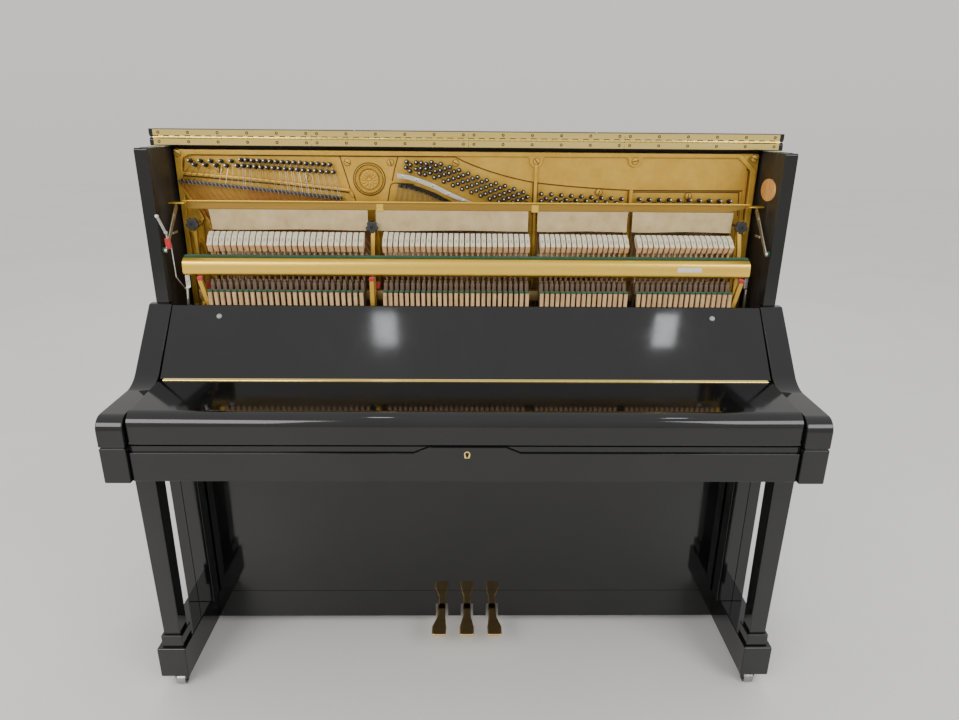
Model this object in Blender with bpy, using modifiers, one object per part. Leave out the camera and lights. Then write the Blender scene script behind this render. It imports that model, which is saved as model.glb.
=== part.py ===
"""A tall upright piano, built as separate pieces: case, keyboard, action, trapwork, strung back.

Units are metres. +X is the treble side, -Y is the player's side, +Z is up. The origin is on the floor,
under the middle of the whole case.
"""

import math

import bmesh
import bpy
from mathutils import Matrix, Vector

# ---------------------------------------------------------------- overall sizes
WIDTH = 1.530  # over the outsides of the arms
DEPTH = 0.650  # front of the arms to the back of the case
GAP = 0.0003  # between pieces that touch
FRONT_Y = -DEPTH / 2
BACK_Y = DEPTH / 2

# ---------------------------------------------------------------- feet and lower case
TOE_BOTTOM = 0.037
TOE_HEIGHT = 0.085
TOE_WIDTH = 0.069
TOE_INSET = 0.006  # outer side of a toe rail, in from the arm's outer side
TOE_SETBACK = 0.069  # behind the front of the arms
TOE_TOP = TOE_BOTTOM + TOE_HEIGHT
FRONT_WHEEL_RADIUS = 0.016
REAR_WHEEL_RADIUS = 0.034
WHEEL_WIDTH = 0.022
WHEEL_SIDES = 16
CHEEK = 0.003  # thickness of a caster's sides
CHEEK_CLEARANCE = 0.001
CASTER_ROOM = 0.0015  # over a wheel, under its plate
CASTER_X_INSET = 0.042  # a front wheel's middle, in from its toe rail's outer side
CASTER_SETBACK = 0.022  # a front wheel's axle, behind the front of its toe rail
REAR_CASTER_SETBACK = 0.060
REAR_CASTER_X = 0.600

LEG_TOP = 0.046
LEG_FOOT = 0.040
LEG_SETBACK = 0.080
LEG_BASE_HEIGHT = 0.033
LEG_BASE = 0.052
LEG_INSET = 0.014  # a leg's outer side, in from its toe rail's outer side

# ---------------------------------------------------------------- key bed, arms and sides
BED_BOTTOM = 0.621
BED_THICKNESS = 0.037
BED_TOP = BED_BOTTOM + BED_THICKNESS
BED_BACK_Y = 0.095
SLIP_TOP = 0.702
SLIP_THICKNESS = 0.017
SLIP_SETBACK = 0.009
SLIP_COVE = 0.014
SLIP_COVE_DEPTH = 0.006
SLIP_CENTRE = 0.180  # width of the raised middle of the key slip

ARM_WIDTH = 0.055
ARM_GROOVE_Z = 0.703
ARM_GROOVE = 0.003
ARM_FLAT_Z = 0.773
ARM_NOSE_RADIUS = 0.030
ARM_TOP_Z = 0.930
ARM_BACK_Y = 0.011
ARM_SLOPE = math.radians(48.4)
ARM_SWEEP_RADIUS = 0.067

SIDE_THICKNESS = 0.030
SIDE_INSET = 0.0155  # outer side of a side panel, in from the arm's outer side
SIDE_TOP = 1.287
SIDE_FRONT_Y = -0.003
STILE_FRONT_Y = -0.080
STILE_WIDTH = 0.066
STILE_DEPTH = 0.075

# ---------------------------------------------------------------- lower front
PANEL_FRONT_Y = -0.035
PANEL_THICKNESS = 0.018
PANEL_TOP = 0.617
PANEL_SIDE_GAP = 0.002
RAIL_THICKNESS = 0.022
BOARD_THICKNESS = 0.020
BOARD_DROP = 0.004  # top of the bottom board, below the top of the bottom rail
CLIP_WIDTH = 0.040
CLIP_LENGTH = 0.060
CLIP_THICKNESS = 0.0015
CLIP_ROOT = 0.009  # the part that lies flat under the key bed
CLIP_REACH = 0.014  # over the lower panel's top edge

# ---------------------------------------------------------------- top lid
LID_THICKNESS = 0.019
LID_OVERHANG = 0.010  # beyond the outer side of a side panel
LID_EDGE_Y = 0.108
FLAP_DEPTH = 0.133
LID_CHAMFER = 0.0045
LID_HINGE_Y = 0.1065
LID_HINGE_RADIUS = 0.003
LEAF_THICKNESS = 0.0011
LEAF_MARGIN = 0.010
LEAF_CLEARANCE = 0.0015  # leaf to barrel, and leaf to the board's far edge

# ---------------------------------------------------------------- fallboard
FALL_HINGE_Y = -0.138
FALL_HINGE_Z = 0.7826
FALL_HINGE_RADIUS = 0.0034
FALL_THICKNESS = 0.018
FALL_EDGE = 0.004  # from the hinge's axis to the boards
FALL_SETBACK = 0.012  # behind the front of the arms
FALL_BOTTOM_Z = 0.7045
FALL_NOSE_Z = 0.7715
FALL_NOSE_RADIUS = 0.030
FALL_SIDE_GAP = 0.0015
FALL_SLOPE = math.radians(50.0)
FALL_SLOPE_LENGTH = 0.191
FALL_LEAF = 0.012

# ---------------------------------------------------------------- keyboard
WHITE_PITCH = 0.0235
WHITE_KEYS = 52
KEY_GAP = 0.001
WHITE_SETBACK = 0.037  # a white key's front, behind the front of the arms
WHITE_TOP = 0.730
KEY_BOTTOM = 0.708
KEY_BACK_Y = 0.035
HEAD_LENGTH = 0.050  # the part of a white key in front of the black keys
BLACK_WIDTH = 0.0110
BLACK_GAP = 0.0012
BLACK_LENGTH = 0.095
BLACK_TOP = 0.742
BLACK_SLOPE = 0.006  # length of the sloped front
BLACK_TAIL_DROP = 0.002  # top of a black key's tail, below the white keys' top
KEY_BAR_Y = 0.000  # the bar that stands in for the guides behind a group of keys
BLACK_BAR_LOW = 0.6965
BLACK_BAR = (-0.040, -0.020)
BALANCE_Y = -0.100
BALANCE_RAIL = 0.050
KEY_FRAME_END = 0.040  # the frame's ends, beyond the keys
KEY_FRAME_STILE = 0.025
KEY_FRAME_TOP = 0.695

# ---------------------------------------------------------------- strung back
PLATE_FRONT_Y = 0.132
PLATE_THICKNESS = 0.012
PLATE_SIDE_GAP = 0.0045  # the plate and the back frame, to a side panel
PLATE_BOTTOM = 0.165
PLATE_TOP = 1.280
PLATE_RIM = 0.050
PLATE_CORNER = 0.060
PLATE_WINDOW_LOW = 0.240
PLATE_WINDOW_HIGH = 1.120
STRUT = 0.026
STRUTS_X = (-0.228, 0.163, 0.405)
PIN_BLOCK_BOTTOM = 1.125
SOUNDBOARD_Y = 0.195
SOUNDBOARD_THICKNESS = 0.008
BRIDGE_WIDTH = 0.032
BRIDGE_DEPTH = 0.035
POST_WIDTH = 0.090
POSTS = 5
POST_INSET = 0.055  # an outer post's middle, in from the back frame's end
BEAM_HEIGHT = 0.118
TREBLE_BRIDGE = (0.640, 0.960, 1.200, 0.620)  # top end x, z; how far it runs left and down
BASS_BRIDGE = (-0.200, 0.330, 0.500, 0.050)

# ---------------------------------------------------------------- action
HAMMER_GROUPS = ((-0.617, -0.256, 26), (-0.1995, 0.1425, 27), (0.178, 0.381, 17), (0.412, 0.634, 18))
SAMPLE_NOTE = 40  # middle C, counted from the lowest note
HAMMER_PIVOT = (0.048, 0.952)  # y, z
SHANK = 0.006
HEAD_WIDTH = 0.009
HEAD_Y = (0.030, 0.073)
HEAD_Z = (1.062, 1.088)
HAMMER_BAR_Z = (0.944, 0.955)
HAMMER_RAIL_Y = (0.004, 0.0425)
HAMMER_RAIL_Z = (0.994, 1.038)
HAMMER_RAIL_HALF = 0.680
ACTION_RAIL_Y = (0.0555, 0.0755)
ACTION_RAIL_Z = (0.925, 0.950)
ACTION_RAIL_HALF = 0.668
DAMPER_PIVOT = (0.085, 0.951)
DAMPER_NOTES = 66
DAMPER_BAR_Z = (0.947, 0.955)
DAMPER_Z = 1.035
DAMPER_WIDTH = 0.007
DAMPER_HEAD = 0.040
DAMPER_FACE_Y = 0.1165
DAMPER_FELT = 0.005
DAMPER_WOOD = 0.006
BRACKETS = {"left": (-0.674, 0.008), "middle": (-0.237, 0.008), "right": (0.671, 0.008)}  # x, width
BRACKET_TOP = 1.112
BRACKET_LUG = 0.017
BRACKET_COLUMN_Y = (0.060, 0.076)
BRACKET_BACK_Y = (0.093, 0.104)
BRACKET_JOG_Z = 0.860
BRACKET_FOOT = 0.012

MUTE_PIVOT = (-0.004, 1.058)
MUTE_RAIL_Y = (0.082, 0.092)
MUTE_RAIL_Z = (1.1425, 1.160)
MUTE_SIDE_GAP = 0.012  # the practice rail's end, to a side panel
MUTE_ARM = 0.008
MUTE_ARM_THICKNESS = 0.003
MUTE_FELT_Z = 1.094
MUTE_FELT_THICKNESS = 0.003
MUTE_FLAPS = ((-0.632, -0.246), (-0.226, 0.147), (0.170, 0.392), (0.404, 0.653))

# ---------------------------------------------------------------- pedals and trapwork
PEDAL_PITCH = 0.070
PEDAL_TIP_Y = -0.147
PEDAL_PIVOT_Y = 0.125
PEDAL_Z = 0.066
PEDAL_THICKNESS = 0.008
PEDAL_TIP_WIDTH = 0.039
PEDAL_NECK = 0.018
PEDAL_NECK_SETBACK = 0.085  # behind the tip
PEDAL_TOE = 0.035  # length of the broad toe
PEDAL_BAR = 0.016
PEDAL_FLARE = 0.004  # outer pedals' tips lean out by this
PEDAL_SLOT = (0.034, 0.044)  # width, height
PEDAL_SLOT_ROOM = 0.012  # from a pedal's middle up to its slot's top
TRAP_BAR = 0.014
TRAP_HEIGHT = 0.020
TRAP_CLEARANCE = 0.010  # above the bottom board
TRAP_Y = {"soft": 0.105, "damper": 0.078, "mute": 0.051}
TRAP_SHORT_ARM = 0.120
DOWEL_INSET = 0.0225  # a dowel's middle, in from the side panel
DOWEL_RADIUS = 0.005
DOWEL_TOP = 0.900
MUTE_TRAP_END_X = -0.600
BED_NOTCH = (0.034, 0.036)

# ---------------------------------------------------------------- places that follow from those
ARM_OUT = WIDTH / 2
ARM_IN = ARM_OUT - ARM_WIDTH
SIDE_OUT = ARM_OUT - SIDE_INSET
SIDE_IN = SIDE_OUT - SIDE_THICKNESS
TOE_OUT = ARM_OUT - TOE_INSET
TOE_IN = TOE_OUT - TOE_WIDTH
BETWEEN_TOES = TOE_IN - GAP
BETWEEN_ARMS = ARM_IN - GAP - 0.0005
LID_HALF = SIDE_OUT + LID_OVERHANG
LID_LOW = SIDE_TOP + 0.001
LID_HINGE_Z = LID_LOW + LID_THICKNESS + 0.0005
STILE_IN = SIDE_OUT - STILE_WIDTH - 0.0035
BOARD_TOP = TOE_TOP - BOARD_DROP
BOARD_LOW = BOARD_TOP - BOARD_THICKNESS
TRAP_LOW = BOARD_TOP + TRAP_CLEARANCE
TRAP_TOP = TRAP_LOW + TRAP_HEIGHT
PLATE_BACK_Y = PLATE_FRONT_Y + PLATE_THICKNESS
PLATE_HALF = SIDE_IN - PLATE_SIDE_GAP
OUTER_POST_X = PLATE_HALF - POST_INSET
POSTS_X = [OUTER_POST_X * (2 * index / (POSTS - 1) - 1) for index in range(POSTS)]
MUTE_RAIL_HALF = SIDE_IN - MUTE_SIDE_GAP
DOWEL_X = -SIDE_IN + DOWEL_INSET
WHITE_FRONT_Y = FRONT_Y + WHITE_SETBACK
FALL_FRONT_Y = FRONT_Y + FALL_SETBACK
SOUNDBOARD_BACK_Y = SOUNDBOARD_Y + SOUNDBOARD_THICKNESS

FINISHES = {  # colour, roughness, metallic
    "black_polyester": ((0.006, 0.006, 0.007), 0.08, 0.0),
    "matte_black": ((0.020, 0.017, 0.015), 0.6, 0.0),
    "gold_iron": ((0.48, 0.33, 0.10), 0.42, 0.6),
    "brass": ((0.72, 0.52, 0.20), 0.25, 1.0),
    "gold_rail": ((0.70, 0.52, 0.22), 0.3, 0.9),
    "steel": ((0.6, 0.6, 0.6), 0.3, 1.0),
    "black_iron": ((0.02, 0.02, 0.02), 0.5, 0.3),
    "maple": ((0.62, 0.44, 0.26), 0.5, 0.0),
    "spruce": ((0.70, 0.50, 0.28), 0.55, 0.0),
    "white_key": ((0.85, 0.84, 0.80), 0.2, 0.0),
    "black_key": ((0.02, 0.02, 0.02), 0.3, 0.0),
    "hammer_felt": ((0.80, 0.76, 0.68), 0.9, 0.0),
    "mute_felt": ((0.68, 0.60, 0.47), 0.95, 0.0),
}


# ================================================================ shared tools
def clear_scene():
    for thing in list(bpy.data.objects):
        bpy.data.objects.remove(thing, do_unlink=True)


def new_collection(name):
    collection = bpy.data.collections.new(name)
    bpy.context.scene.collection.children.link(collection)
    return collection


def give_finish(thing, finish):
    """Gives a piece a material of its own in one of the finishes."""
    colour, roughness, metallic = FINISHES[finish]
    material = bpy.data.materials.new(thing.name + "_" + finish)
    material.use_nodes = True
    shader = material.node_tree.nodes["Principled BSDF"]
    shader.inputs["Base Color"].default_value = (*colour, 1.0)
    shader.inputs["Roughness"].default_value = roughness
    shader.inputs["Metallic"].default_value = metallic
    thing.data.materials.clear()
    thing.data.materials.append(material)


def piece(name, mesh, finish, collection=None):
    """Links a mesh as a named piece of the piano."""
    thing = bpy.data.objects.new(name, mesh)
    (collection or PIANO).objects.link(thing)
    if finish:
        give_finish(thing, finish)
    return thing


def helper(name, mesh):
    """Links a mesh that cuts or joins another and isn't a piece itself."""
    thing = piece(name, mesh, None, CUTTERS)
    thing.hide_render = True
    thing.display_type = "WIRE"
    return thing


def mesh_of(name, work):
    """Turns a bmesh into a mesh with its faces pointing out."""
    bmesh.ops.recalc_face_normals(work, faces=work.faces)
    mesh = bpy.data.meshes.new(name)
    work.to_mesh(mesh)
    work.free()
    return mesh


def box_mesh(name, low, high):
    work = bmesh.new()
    bmesh.ops.create_cube(work, size=1.0)
    size = Vector(high) - Vector(low)
    middle = (Vector(high) + Vector(low)) / 2
    bmesh.ops.scale(work, vec=size, verts=work.verts)
    bmesh.ops.translate(work, vec=middle, verts=work.verts)
    return mesh_of(name, work)


def box(name, low, high, finish, edge=0.0):
    """A rectangular piece between two corners, with its edges taken off by edge."""
    thing = piece(name, box_mesh(name, low, high), finish)
    if edge:
        ease(thing, edge)
    return thing


def ease(thing, width, segments=2):
    """Rounds a piece's sharp edges."""
    bevel = thing.modifiers.new("eased_edges", "BEVEL")
    bevel.width = width
    bevel.segments = segments
    bevel.limit_method = "ANGLE"
    bevel.angle_limit = math.radians(40)


def rounded(corners, steps=4):
    """An outline from (x, y, radius) corners, each with its radius drawn as short chords."""
    outline = []
    for index, (x, y, radius) in enumerate(corners):
        here = Vector((x, y))
        if not radius:
            outline.append(tuple(here))
            continue
        before = (Vector(corners[index - 1][:2]) - here).normalized()
        after = (Vector(corners[(index + 1) % len(corners)][:2]) - here).normalized()
        half = before.angle(after) / 2
        centre = here + (before + after).normalized() * (radius / math.sin(half))
        start = here + before * (radius / math.tan(half)) - centre
        end = here + after * (radius / math.tan(half)) - centre
        turn = start.angle_signed(end)
        for step in range(steps + 1):
            angle = -turn * step / steps
            outline.append(tuple(centre + Matrix.Rotation(angle, 2) @ start))
    return outline


PLANES = {
    "YZ": Matrix(((0, 0, 1), (1, 0, 0), (0, 1, 0))),
    "XZ": Matrix(((1, 0, 0), (0, 0, -1), (0, 1, 0))),
    "XY": Matrix.Identity(3),
}


def prism_mesh(name, outline, plane, low, high):
    """A flat outline in a plane, drawn as a filled 2D curve and extruded from low to high across it."""
    curve = bpy.data.curves.new(name, "CURVE")
    curve.dimensions = "2D"
    curve.fill_mode = "BOTH"
    curve.extrude = (high - low) / 2
    spline = curve.splines.new("POLY")
    spline.points.add(len(outline) - 1)
    for point, (u, v) in zip(spline.points, outline):
        point.co = (u, v, 0, 1)
    spline.use_cyclic_u = True
    guide = bpy.data.objects.new(name, curve)
    CUTTERS.objects.link(guide)
    turn = PLANES[plane]
    offset = turn @ Vector((0, 0, 1)) * (low + high) / 2
    if plane == "XZ":
        offset = -offset
    bpy.context.view_layer.update()
    mesh = bpy.data.meshes.new_from_object(guide.evaluated_get(bpy.context.evaluated_depsgraph_get()))
    bpy.data.objects.remove(guide, do_unlink=True)
    mesh.transform(Matrix.Translation(offset) @ turn.to_4x4())
    work = bmesh.new()
    work.from_mesh(mesh)
    bpy.data.meshes.remove(mesh)
    bmesh.ops.remove_doubles(work, verts=work.verts, dist=0.00001)
    return mesh_of(name, work)


def prism(name, outline, plane, low, high, finish, edge=0.0):
    thing = piece(name, prism_mesh(name, outline, plane, low, high), finish)
    if edge:
        ease(thing, edge, segments=1)
    return thing


def boolean(thing, other_mesh, operation):
    """Cuts a mesh from a piece, or joins it to the piece."""
    other = helper(thing.name + "_" + operation.lower(), other_mesh)
    modifier = thing.modifiers.new(operation.lower(), "BOOLEAN")
    modifier.operation = operation
    modifier.solver = "EXACT"
    modifier.object = other


def joined_mesh(name, meshes):
    """Several meshes in one, as loose bodies."""
    work = bmesh.new()
    for mesh in meshes:
        work.from_mesh(mesh)
        bpy.data.meshes.remove(mesh)
    return mesh_of(name, work)


def rod_mesh(name, radius, start, end, sides=12):
    """A round bar between two points."""
    start = Vector(start)
    along = Vector(end) - start
    work = bmesh.new()
    bmesh.ops.create_cone(
        work, cap_ends=True, segments=sides, radius1=radius, radius2=radius, depth=along.length
    )
    turn = along.to_track_quat("Z", "Y").to_matrix().to_4x4()
    bmesh.ops.transform(work, matrix=Matrix.Translation(start + along / 2) @ turn, verts=work.verts)
    return mesh_of(name, work)


def hang(thing, point):
    """Moves a piece's origin onto its joint's axis, leaving the piece where it is."""
    point = Vector(point)
    thing.data.transform(Matrix.Translation(-point))
    thing.location = point


def sides():
    """The bass side and the treble side: name and sign of X."""
    return (("left", -1), ("right", 1))


def across(sign, near, far):
    """The low and high X of a span that is mirrored to the side of sign."""
    return (near, far) if sign > 0 else (-far, -near)


# ================================================================ case
def make_side_panel(name, sign):
    outline = [
        (STILE_FRONT_Y, TOE_TOP + GAP),
        (BACK_Y, TOE_TOP + GAP),
        (BACK_Y, SIDE_TOP),
        (SIDE_FRONT_Y, SIDE_TOP),
        (SIDE_FRONT_Y, ARM_TOP_Z + GAP),
        (ARM_BACK_Y + GAP, ARM_TOP_Z + GAP),
        (ARM_BACK_Y + GAP, BED_BOTTOM - GAP),
        (STILE_FRONT_Y, BED_BOTTOM - GAP),
    ]
    low, high = across(sign, SIDE_IN, SIDE_OUT)
    panel = prism("side_panel_" + name, outline, "YZ", low, high, "black_polyester")
    low, high = across(sign, STILE_IN, SIDE_IN + SIDE_THICKNESS / 2)
    stile = box_mesh(
        "stile",
        (low, STILE_FRONT_Y, TOE_TOP + GAP),
        (high, STILE_FRONT_Y + STILE_DEPTH, BED_BOTTOM - GAP),
    )
    boolean(panel, stile, "UNION")


def arm_outline():
    """The arm's side view above its groove: rounded nose, flat, sweep, slope and short top."""
    rise = ARM_TOP_Z - ARM_FLAT_Z
    slope_top_y = SIDE_FRONT_Y - 0.006
    slope_low_y = slope_top_y - rise / math.tan(ARM_SLOPE)
    return rounded(
        [
            (FRONT_Y, ARM_GROOVE_Z + ARM_GROOVE / 2, 0),
            (ARM_BACK_Y, ARM_GROOVE_Z + ARM_GROOVE / 2, 0),
            (ARM_BACK_Y, ARM_TOP_Z, 0),
            (slope_top_y, ARM_TOP_Z, 0.008),
            (slope_low_y, ARM_FLAT_Z, ARM_SWEEP_RADIUS),
            (FRONT_Y, ARM_FLAT_Z - 0.004, ARM_NOSE_RADIUS),
        ],
        steps=6,
    )


def make_arm(name, sign):
    low, high = across(sign, ARM_IN, ARM_OUT)
    arm = prism("arm_" + name, arm_outline(), "YZ", low, high, "black_polyester")
    block = box_mesh(
        "arm_block",
        (low, FRONT_Y, BED_BOTTOM),
        (high, ARM_BACK_Y, ARM_GROOVE_Z - ARM_GROOVE / 2),
    )
    core = box_mesh(
        "arm_core",
        (low + ARM_GROOVE, FRONT_Y + ARM_GROOVE, BED_BOTTOM + ARM_GROOVE),
        (high - ARM_GROOVE, ARM_BACK_Y - ARM_GROOVE, ARM_FLAT_Z - 0.020),
    )
    boolean(arm, block, "UNION")
    boolean(arm, core, "UNION")


def make_leg(name, sign):
    """A square leg that tapers to its foot, standing on a small block on the toe rail."""
    outer = TOE_OUT - LEG_INSET
    low, high = across(sign, outer - LEG_TOP, outer)
    middle = (low + high) / 2
    front = FRONT_Y + LEG_SETBACK
    foot_z = TOE_TOP + LEG_BASE_HEIGHT
    mesh = box_mesh("leg", (low, front, foot_z), (high, front + LEG_TOP, BED_BOTTOM - GAP))
    taper = LEG_FOOT / LEG_TOP
    for vertex in mesh.vertices:
        if vertex.co.z < foot_z + 0.001:
            vertex.co.x = middle + (vertex.co.x - middle) * taper
            vertex.co.y = front + LEG_TOP / 2 + (vertex.co.y - front - LEG_TOP / 2) * taper
    leg = piece("leg_" + name, mesh, "black_polyester")
    base = box_mesh(
        "leg_base",
        (middle - LEG_BASE / 2, front + LEG_TOP / 2 - LEG_BASE / 2, TOE_TOP + GAP),
        (middle + LEG_BASE / 2, front + LEG_TOP / 2 + LEG_BASE / 2, foot_z + GAP),
    )
    boolean(leg, base, "UNION")


def make_toe_rail(name, sign):
    low, high = across(sign, TOE_IN, TOE_OUT)
    box(
        "toe_rail_" + name,
        (low, FRONT_Y + TOE_SETBACK, TOE_BOTTOM),
        (high, BACK_Y, TOE_TOP),
        "black_polyester",
        edge=0.002,
    )


def make_caster(end, name, x, y, radius, top):
    """A wheel between the two cheeks of a plate screwed up under the case."""
    facet = math.pi / WHEEL_SIDES
    wheel = rod_mesh(
        "wheel",
        radius / math.cos(facet),
        (x - WHEEL_WIDTH / 2, y, radius),
        (x + WHEEL_WIDTH / 2, y, radius),
        WHEEL_SIDES,
    )
    # a flat of the wheel faces the floor
    wheel.transform(
        Matrix.Translation((x, y, radius))
        @ Matrix.Rotation(facet, 4, "X")
        @ Matrix.Translation((-x, -y, -radius))
    )
    wheel = piece(f"{end}_wheel_{name}", wheel, "steel")
    hang(wheel, (x, y, radius))
    half = WHEEL_WIDTH / 2 + CHEEK_CLEARANCE
    plate_low = 2 * radius + CASTER_ROOM
    outline = [
        (x - half - CHEEK, top),
        (x - half - CHEEK, radius * 0.6),
        (x - half, radius * 0.6),
        (x - half, plate_low),
        (x + half, plate_low),
        (x + half, radius * 0.6),
        (x + half + CHEEK, radius * 0.6),
        (x + half + CHEEK, top),
    ]
    reach = radius * 0.75
    prism(f"{end}_caster_{name}", outline, "XZ", y - reach, y + reach, "black_iron")


def make_key_bed():
    outline = [
        (-BETWEEN_ARMS, FRONT_Y + SLIP_SETBACK + SLIP_THICKNESS + GAP),
        (BETWEEN_ARMS, FRONT_Y + SLIP_SETBACK + SLIP_THICKNESS + GAP),
        (BETWEEN_ARMS, BED_BACK_Y),
        (-BETWEEN_ARMS + BED_NOTCH[0], BED_BACK_Y),
        (-BETWEEN_ARMS + BED_NOTCH[0], BED_BACK_Y - BED_NOTCH[1]),
        (-BETWEEN_ARMS, BED_BACK_Y - BED_NOTCH[1]),
    ]
    prism("key_bed", outline, "XY", BED_BOTTOM, BED_TOP, "matte_black")


def make_key_slip():
    """The rail in front of the keys, with a finger cove along its top that stops short of the lock."""
    front = FRONT_Y + SLIP_SETBACK
    slip = box(
        "key_slip",
        (-BETWEEN_ARMS, front, BED_BOTTOM),
        (BETWEEN_ARMS, front + SLIP_THICKNESS, SLIP_TOP),
        "black_polyester",
    )
    coves = []
    for sign in (-1, 1):
        low, high = across(sign, SLIP_CENTRE / 2, BETWEEN_ARMS + 0.01)
        outer, inner = (low, high) if sign < 0 else (high, low)
        slant = sign * SLIP_COVE
        outline = [
            (outer, SLIP_TOP - SLIP_COVE),
            (inner + slant, SLIP_TOP - SLIP_COVE),
            (inner, SLIP_TOP + 0.001),
            (outer, SLIP_TOP + 0.001),
        ]
        coves.append(
            prism_mesh("cove", outline, "XZ", front - 0.001, front + SLIP_COVE_DEPTH)
        )
    boolean(slip, joined_mesh("coves", coves), "DIFFERENCE")


def make_bottom():
    rail = box(
        "bottom_rail",
        (-BETWEEN_TOES, PANEL_FRONT_Y, TOE_BOTTOM),
        (BETWEEN_TOES, PANEL_FRONT_Y + RAIL_THICKNESS, TOE_TOP),
        "black_polyester",
    )
    slots = []
    for index in (-1, 0, 1):
        slots.append(
            box_mesh(
                "slot",
                (
                    index * PEDAL_PITCH - PEDAL_SLOT[0] / 2,
                    PANEL_FRONT_Y - 0.01,
                    PEDAL_Z + PEDAL_SLOT_ROOM - PEDAL_SLOT[1],
                ),
                (
                    index * PEDAL_PITCH + PEDAL_SLOT[0] / 2,
                    PANEL_FRONT_Y + RAIL_THICKNESS + 0.01,
                    PEDAL_Z + PEDAL_SLOT_ROOM,
                ),
            )
        )
    boolean(rail, joined_mesh("pedal_slots", slots), "DIFFERENCE")
    box(
        "bottom_board",
        (-BETWEEN_TOES, PANEL_FRONT_Y + RAIL_THICKNESS + GAP, BOARD_LOW),
        (BETWEEN_TOES, SOUNDBOARD_Y - 0.005, BOARD_TOP),
        "matte_black",
    )
    half = STILE_IN - PANEL_SIDE_GAP
    panel = box(
        "lower_panel",
        (-half, PANEL_FRONT_Y, TOE_TOP + GAP),
        (half, PANEL_FRONT_Y + PANEL_THICKNESS, PANEL_TOP),
        "black_polyester",
    )
    hang(panel, (0, PANEL_FRONT_Y, TOE_TOP + GAP))
    make_clip()


def make_clip():
    """A flat steel spring screwed under the key bed, whose free end bears on the lower panel's top."""
    panel_back = PANEL_FRONT_Y + PANEL_THICKNESS
    back = panel_back + CLIP_LENGTH
    high = BED_BOTTOM - GAP
    low = PANEL_TOP + GAP
    outline = [
        (back, high),
        (back, high - CLIP_THICKNESS),
        (back - CLIP_ROOT, high - CLIP_THICKNESS),
        (panel_back, low),
        (panel_back - CLIP_REACH, low),
        (panel_back - CLIP_REACH, low + CLIP_THICKNESS),
        (panel_back, low + CLIP_THICKNESS),
        (back - CLIP_ROOT, high),
    ]
    clip = prism("lower_panel_clip", outline, "YZ", -CLIP_WIDTH / 2, CLIP_WIDTH / 2, "steel")
    hang(clip, (0, back, high - CLIP_THICKNESS / 2))


# ================================================================ lid and fallboard
def make_lid():
    low = LID_LOW
    high = low + LID_THICKNESS
    rear = [
        (LID_EDGE_Y, low),
        (BACK_Y, low),
        (BACK_Y, high),
        (LID_EDGE_Y + LID_CHAMFER, high),
        (LID_EDGE_Y, high - LID_CHAMFER),
    ]
    prism("rear_lid", rear, "YZ", -LID_HALF, LID_HALF, "black_polyester")
    low = LID_HINGE_Z * 2 - high
    high = LID_HINGE_Z * 2 - LID_LOW
    flap = [
        (LID_EDGE_Y, low + LID_CHAMFER),
        (LID_EDGE_Y + LID_CHAMFER, low),
        (LID_EDGE_Y + FLAP_DEPTH, low),
        (LID_EDGE_Y + FLAP_DEPTH, high),
        (LID_EDGE_Y, high),
    ]
    lid = prism("front_lid", flap, "YZ", -LID_HALF, LID_HALF, "black_polyester")
    hang(lid, (0, LID_HINGE_Y, LID_HINGE_Z))
    make_lid_hinge()


def make_lid_hinge():
    """A piano hinge: the barrel and one leaf on the rear lid's edge, the other leaf on the flap's."""
    half = LID_HALF - LEAF_MARGIN
    back = LID_EDGE_Y - 0.0001
    front = back - LEAF_THICKNESS
    reach = LID_THICKNESS - LEAF_CLEARANCE
    near = LID_HINGE_RADIUS + 0.001
    steps = 14
    start = math.acos((front - LID_HINGE_Y) / LID_HINGE_RADIUS)
    end = math.acos((back - LID_HINGE_Y) / LID_HINGE_RADIUS)
    sweep = 2 * math.pi - (start - end)
    barrel = [
        (
            LID_HINGE_Y + LID_HINGE_RADIUS * math.cos(-end + sweep * step / steps),
            LID_HINGE_Z + LID_HINGE_RADIUS * math.sin(-end + sweep * step / steps),
        )
        for step in range(steps + 1)
    ]
    fixed = barrel + [(front, LID_HINGE_Z - reach), (back, LID_HINGE_Z - reach)]
    prism("lid_hinge_fixed_leaf", fixed, "YZ", -half, half, "brass")
    leaf = box(
        "lid_hinge_moving_leaf",
        (-half, front, LID_HINGE_Z + near),
        (half, back, LID_HINGE_Z + reach),
        "brass",
    )
    hang(leaf, (0, LID_HINGE_Y, LID_HINGE_Z))


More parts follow.
